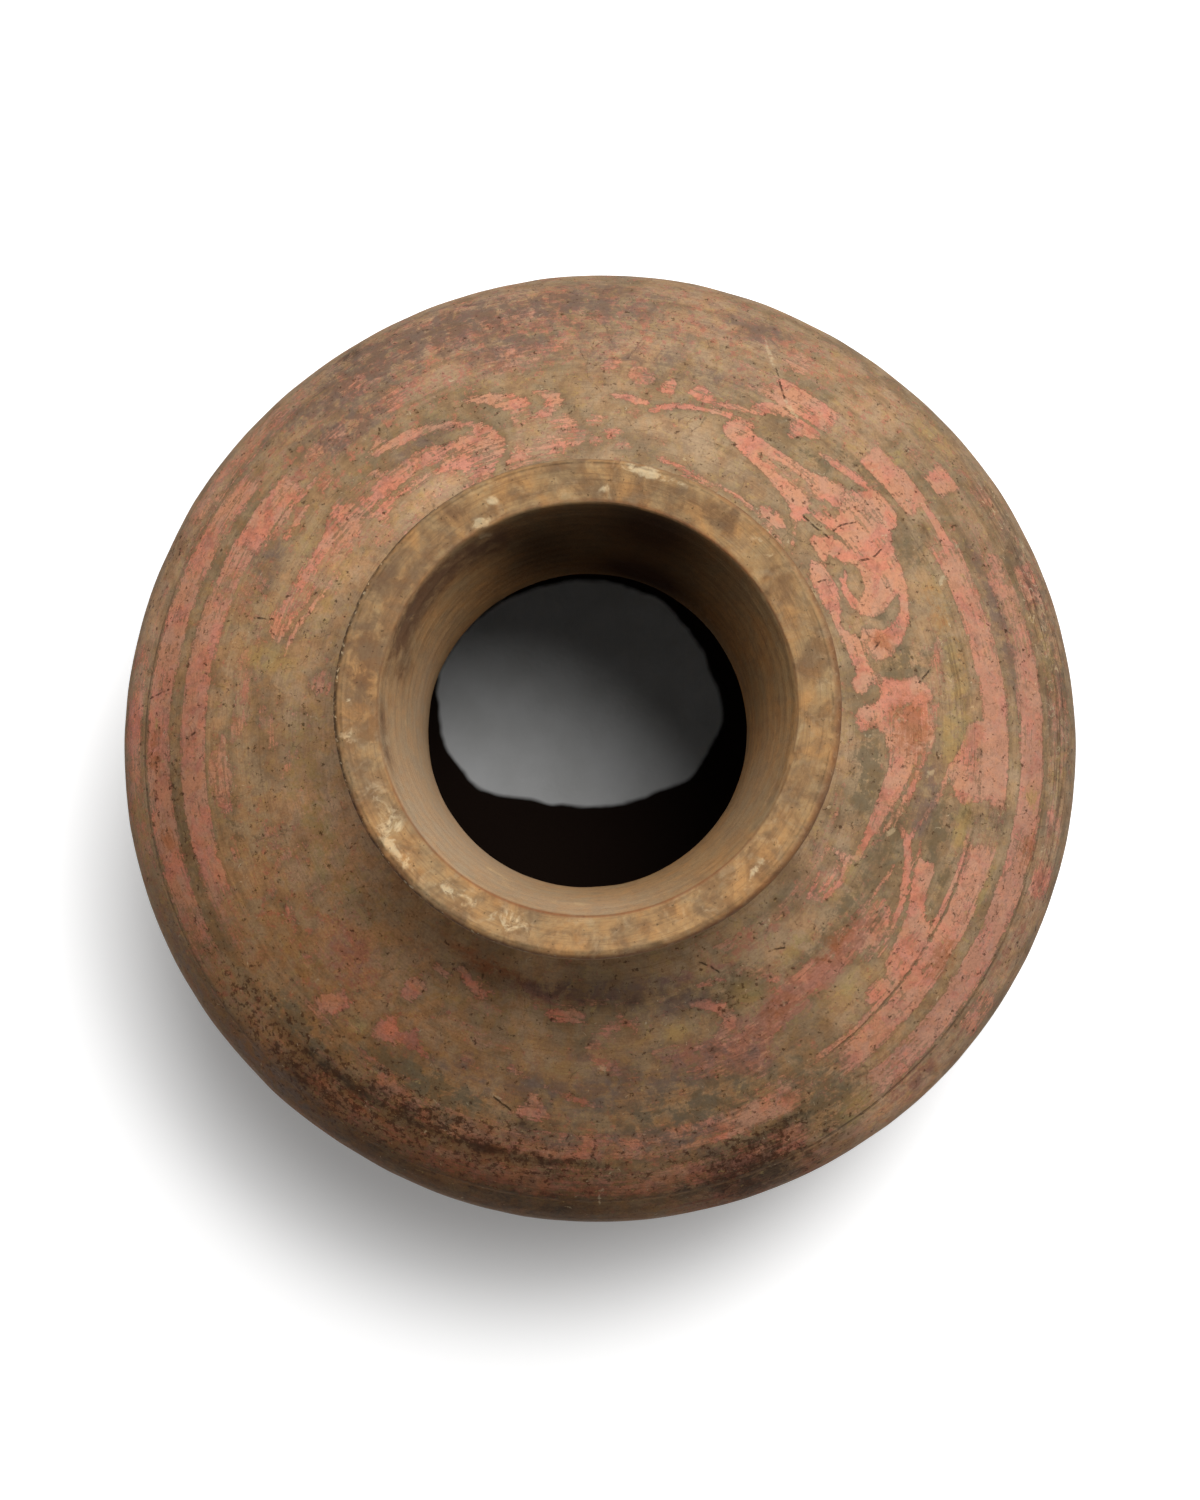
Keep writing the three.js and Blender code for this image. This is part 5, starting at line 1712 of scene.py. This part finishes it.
class JAR_OT_mouth_rim(bpy.types.Operator):
    """Turns the thick lip"""
    bl_idname = "jar.mouth_rim"
    bl_label = "Mouth Rim"

    def execute(self, context):
        piece = turned_piece("thick_lip", mouth_rim_outline(), LIP_TURN, lip_finish("thick_lip"))
        shift_throat(piece)
        chip(piece, LIP_NICKS)
        _, _, z, radius, angles = mesh_places(piece)
        keep_field(piece, "brown", stained(angles, radius, LIP_BROWN))
        keep_field(piece, "cream", stained(angles, radius, LIP_CREAM))
        top = z > LIP_TOP - LIP_FACE
        inner_edge = hump(radius, LIP_INNER_RADIUS + RIM_LINE[0], RIM_LINE[1])
        outer_edge = RIM_LINE_OUTSIDE * np.interp(radius, RUBBED_EDGE, (0, 1))
        keep_field(piece, "edge", np.maximum(inner_edge, outer_edge) * top * round_values(angles, RIM_EDGE))
        groove = hump(radius, GROOVE_RADIUS, GROOVE_DIRT_WIDTH) * top
        keep_field(piece, "groove", groove * round_values(angles, GROOVE_DIRT))
        # Dark outer edge: grime together with a painted shadow under the lip's edge
        dirty = np.where(z > LIP_TOP - DARK_EDGE_DEPTH, 1, DARK_EDGE_BELOW) * round_values(angles, EDGE_DIRT_AND_SHADOW)
        keep_field(piece, "edge_dirt", dirty * np.interp(radius, DARK_EDGE, (0, 1)))
        keep_field(piece, "inner", np.interp(MOUTH_HEIGHT - z, MOUTH_EDGE, (0, 1)) * faces_axis(piece))
        stain_throat(piece)
        seat(piece, "mouth_rim")
        return {"FINISHED"}


class JAR_OT_foot(bpy.types.Operator):
    """Turns the foot ring and the floor of the jar"""
    bl_idname = "jar.foot"
    bl_label = "Foot and Floor"

    def execute(self, context):
        ring = turned_piece("ring_foot", foot_ring_outline(), FOOT_TURN, foot_finish("ring_foot"))
        chip(ring, FOOT_NICKS)
        seat(ring, "foot_ring")
        floor = turned_piece("jar_floor", base_disc_outline(), FOOT_TURN, floor_finish("jar_floor"))
        x, y, z, _, _ = mesh_places(floor)
        keep_field(floor, "silt", np.clip(silt_depth(x, y), -REACH, REACH))
        keep_field(floor, "inner", z > FLOOR_TOP - FLOOR_SKIN)
        seat(floor, "base_disc")
        return {"FINISHED"}


class JAR_OT_slips(bpy.types.Operator):
    """Lays the fired slip in the joints"""
    bl_idname = "jar.slips"
    bl_label = "Slip Layers"

    def execute(self, context):
        finish = slip_finish("fired_slip")
        for node, inner, outer in (
                ("foot_slip", BASE_RADIUS - FOOT_WALL, BASE_RADIUS),
                ("base_slip", FLOOR_EDGE, belly_radius(LOWER_OUTER, BOWL_SEAT)),
                ("girth_slip", GIRTH_LAP_RADIUS, GIRTH_RADIUS),
                ("neck_slip", COLLAR_RADIUS, NECK_RADIUS),
                ("lip_slip", LIP_LAP_RADIUS, NECK_TOP_RADIUS)):
            layer = turned_piece(node + "_layer", slip_outline(node, inner, outer), SLIP_TURN, finish)
            seat(layer, node)
        return {"FINISHED"}


# Stage, in metres and degrees. Lamps are (size, azimuth, elevation, distance), and the floor's glow by the
# distance from the middle of the shadow is (start, end, first strength, last strength)

PHOTO_WIDTH = 1200
PHOTO_HEIGHT = 1500
FOCAL_PIXELS = 4745
GIRTH_CENTRE_PIXEL = (599.0, 745.2)
SENSOR = 36.0
KEY_LAMP = (0.9, 66, 57, 0.95)
TOP_LAMP = (0.36, 34, 76, 1.3)
FLOOR_HALF = 4.0
FLOOR_LIT = (0.45, 0.45, 0.45, 1)
FLOOR_SEEN = (0.9, 0.9, 0.9, 1)
SHADOW_MIDDLE = (-0.027, -0.031, 0.0)
NEAR_GLOW = (0.115, 0.174, 0.07, 0.62)
FAR_GLOW = (0.3, 1.0, 0.0, 0.38)
GIRTH_PLACE = Vector((0, 0, GIRTH_HEIGHT * MM))


def stand_camera(stage):
    """A camera almost straight above the jar, with the plan's +Y at the top of the picture."""
    flat = math.cos(stage.camera_elevation)
    toward = Vector((flat * math.sin(stage.camera_azimuth), -flat * math.cos(stage.camera_azimuth),
                     math.sin(stage.camera_elevation)))
    plan_up = Vector((0, 1, 0))
    up = (plan_up - toward * plan_up.dot(toward)).normalized()
    right = up.cross(toward)
    lens = bpy.data.cameras.new("Camera")
    lens.sensor_fit = "VERTICAL"
    lens.sensor_width = SENSOR
    lens.sensor_height = SENSOR
    lens.lens = FOCAL_PIXELS / PHOTO_HEIGHT * SENSOR
    lens.shift_x = (PHOTO_WIDTH / 2 - GIRTH_CENTRE_PIXEL[0]) / PHOTO_HEIGHT
    lens.shift_y = (GIRTH_CENTRE_PIXEL[1] - PHOTO_HEIGHT / 2) / PHOTO_HEIGHT
    camera = bpy.data.objects.new("Camera", lens)
    place = GIRTH_PLACE + toward * stage.camera_distance
    camera.matrix_world = Matrix.Translation(place) @ Matrix((right, up, toward)).transposed().to_4x4()
    bpy.context.scene.collection.objects.link(camera)
    bpy.context.scene.camera = camera


def hang_lamp(name, power, size, azimuth, elevation, distance):
    """A round soft lamp that faces the jar."""
    lamp = bpy.data.lights.new(name, "AREA")
    lamp.shape = "DISK"
    lamp.size = size
    lamp.energy = power
    a = math.radians(azimuth)
    e = math.radians(elevation)
    toward = Vector((math.cos(e) * math.cos(a), math.cos(e) * math.sin(a), math.sin(e)))
    holder = bpy.data.objects.new(name, lamp)
    holder.location = GIRTH_PLACE + toward * distance
    holder.rotation_euler = toward.to_track_quat("Z", "Y").to_euler()
    bpy.context.scene.collection.objects.link(holder)


def seen_directly(nodes):
    """1 for rays that show the background itself, and 0 for those that light the jar."""
    path = nodes.add("ShaderNodeLightPath").outputs
    seen = path["Is Camera Ray"]
    for label in ("Is Glossy Ray", "Is Transmission Ray"):
        seen = nodes.sum("MAXIMUM", seen, path[label])
    return seen


def white_floor():
    """A pale floor that shows white to the camera away from the jar, with a glow that fades about the
    shadow's middle so that the floor there shows darker.
    """
    finish = Finish("studio_floor")
    shown = seen_directly(finish)
    away = finish.distance(finish.places, SHADOW_MIDDLE)
    # Painted shadow: the camera-only glow is weakest about the shadow's middle, so the floor near the jar
    # shows darker than its light alone would make it
    glow = finish.plus(finish.rise(away, *NEAR_GLOW), finish.rise(away, *FAR_GLOW))
    return finish.dressed({
        "Base Color": finish.blend(shown, FLOOR_LIT, FLOOR_SEEN), "Roughness": 0.9, "Specular IOR Level": 0.0,
        "Emission Color": WHITE, "Emission Strength": finish.times(glow, shown)})


def light_sky(world, strongest):
    """Soft light from overhead that fades to none at the horizon, and shows white to the camera."""
    world.use_nodes = True
    nodes = Nodes(world.node_tree)
    height = nodes.apart(nodes.add("ShaderNodeTexCoord").outputs["Generated"])["Z"]
    dome = nodes.share(height, 0.0, 1.0, 0.0, strongest)
    sky = nodes.tree.nodes["Background"]
    sky.inputs["Color"].default_value = WHITE
    nodes.feed(sky.inputs["Strength"], nodes.share(seen_directly(nodes), 0.0, 1.0, dome, 1.0))


class JAR_OT_stage(bpy.types.Operator):
    """Lays the floor, hangs the lamps and stands the camera"""
    bl_idname = "jar.stage"
    bl_label = "Stage"

    def execute(self, context):
        stage = context.scene.jar_stage
        mesh = bpy.data.meshes.new("studio_floor")
        corners = [(x * FLOOR_HALF, y * FLOOR_HALF, 0) for x, y in ((-1, -1), (1, -1), (1, 1), (-1, 1))]
        mesh.from_pydata(corners, [], [(0, 1, 2, 3)])
        mesh.materials.append(white_floor())
        floor = bpy.data.objects.new("studio_floor", mesh)
        context.scene.collection.objects.link(floor)
        hang_lamp("key_lamp", stage.key_strength, *KEY_LAMP)
        hang_lamp("top_lamp", stage.top_strength, *TOP_LAMP)
        context.scene.world = bpy.data.worlds.new("studio_sky")
        light_sky(context.scene.world, stage.sky_strength)
        stand_camera(stage)
        context.scene.view_settings.view_transform = "Standard"
        return {"FINISHED"}


class JAR_PT_panel(bpy.types.Panel):
    """Lists the jar's pieces in the order that they are made"""
    bl_idname = "JAR_PT_panel"
    bl_label = "Painted Pottery Jar"
    bl_space_type = "VIEW_3D"
    bl_region_type = "UI"
    bl_category = "Jar"

    def draw(self, context):
        for group in (context.scene.jar_shape, context.scene.jar_colours, context.scene.jar_stage):
            box = self.layout.box()
            for name in group.bl_rna.properties.keys():
                if name not in ("rna_type", "name"):
                    box.prop(group, name)
        for operator in OPERATORS:
            self.layout.operator(operator.bl_idname)


GROUPS = (("jar_shape", JarShape), ("jar_colours", JarColours), ("jar_stage", JarStage))
OPERATORS = (
    JAR_OT_foot, JAR_OT_lower_bowl, JAR_OT_shoulder, JAR_OT_neck, JAR_OT_mouth_rim, JAR_OT_slips,
    JAR_OT_stage)


def register():
    for name, group in GROUPS:
        bpy.utils.register_class(group)
        setattr(bpy.types.Scene, name, bpy.props.PointerProperty(type=group))
    for operator in OPERATORS:
        bpy.utils.register_class(operator)
    bpy.utils.register_class(JAR_PT_panel)


def unregister():
    bpy.utils.unregister_class(JAR_PT_panel)
    for operator in reversed(OPERATORS):
        bpy.utils.unregister_class(operator)
    for name, group in reversed(GROUPS):
        delattr(bpy.types.Scene, name)
        bpy.utils.unregister_class(group)


def main():
    register()
    for operator in OPERATORS:
        group, name = operator.bl_idname.split(".")
        getattr(getattr(bpy.ops, group), name)()


if __name__ == "__main__":
    main()
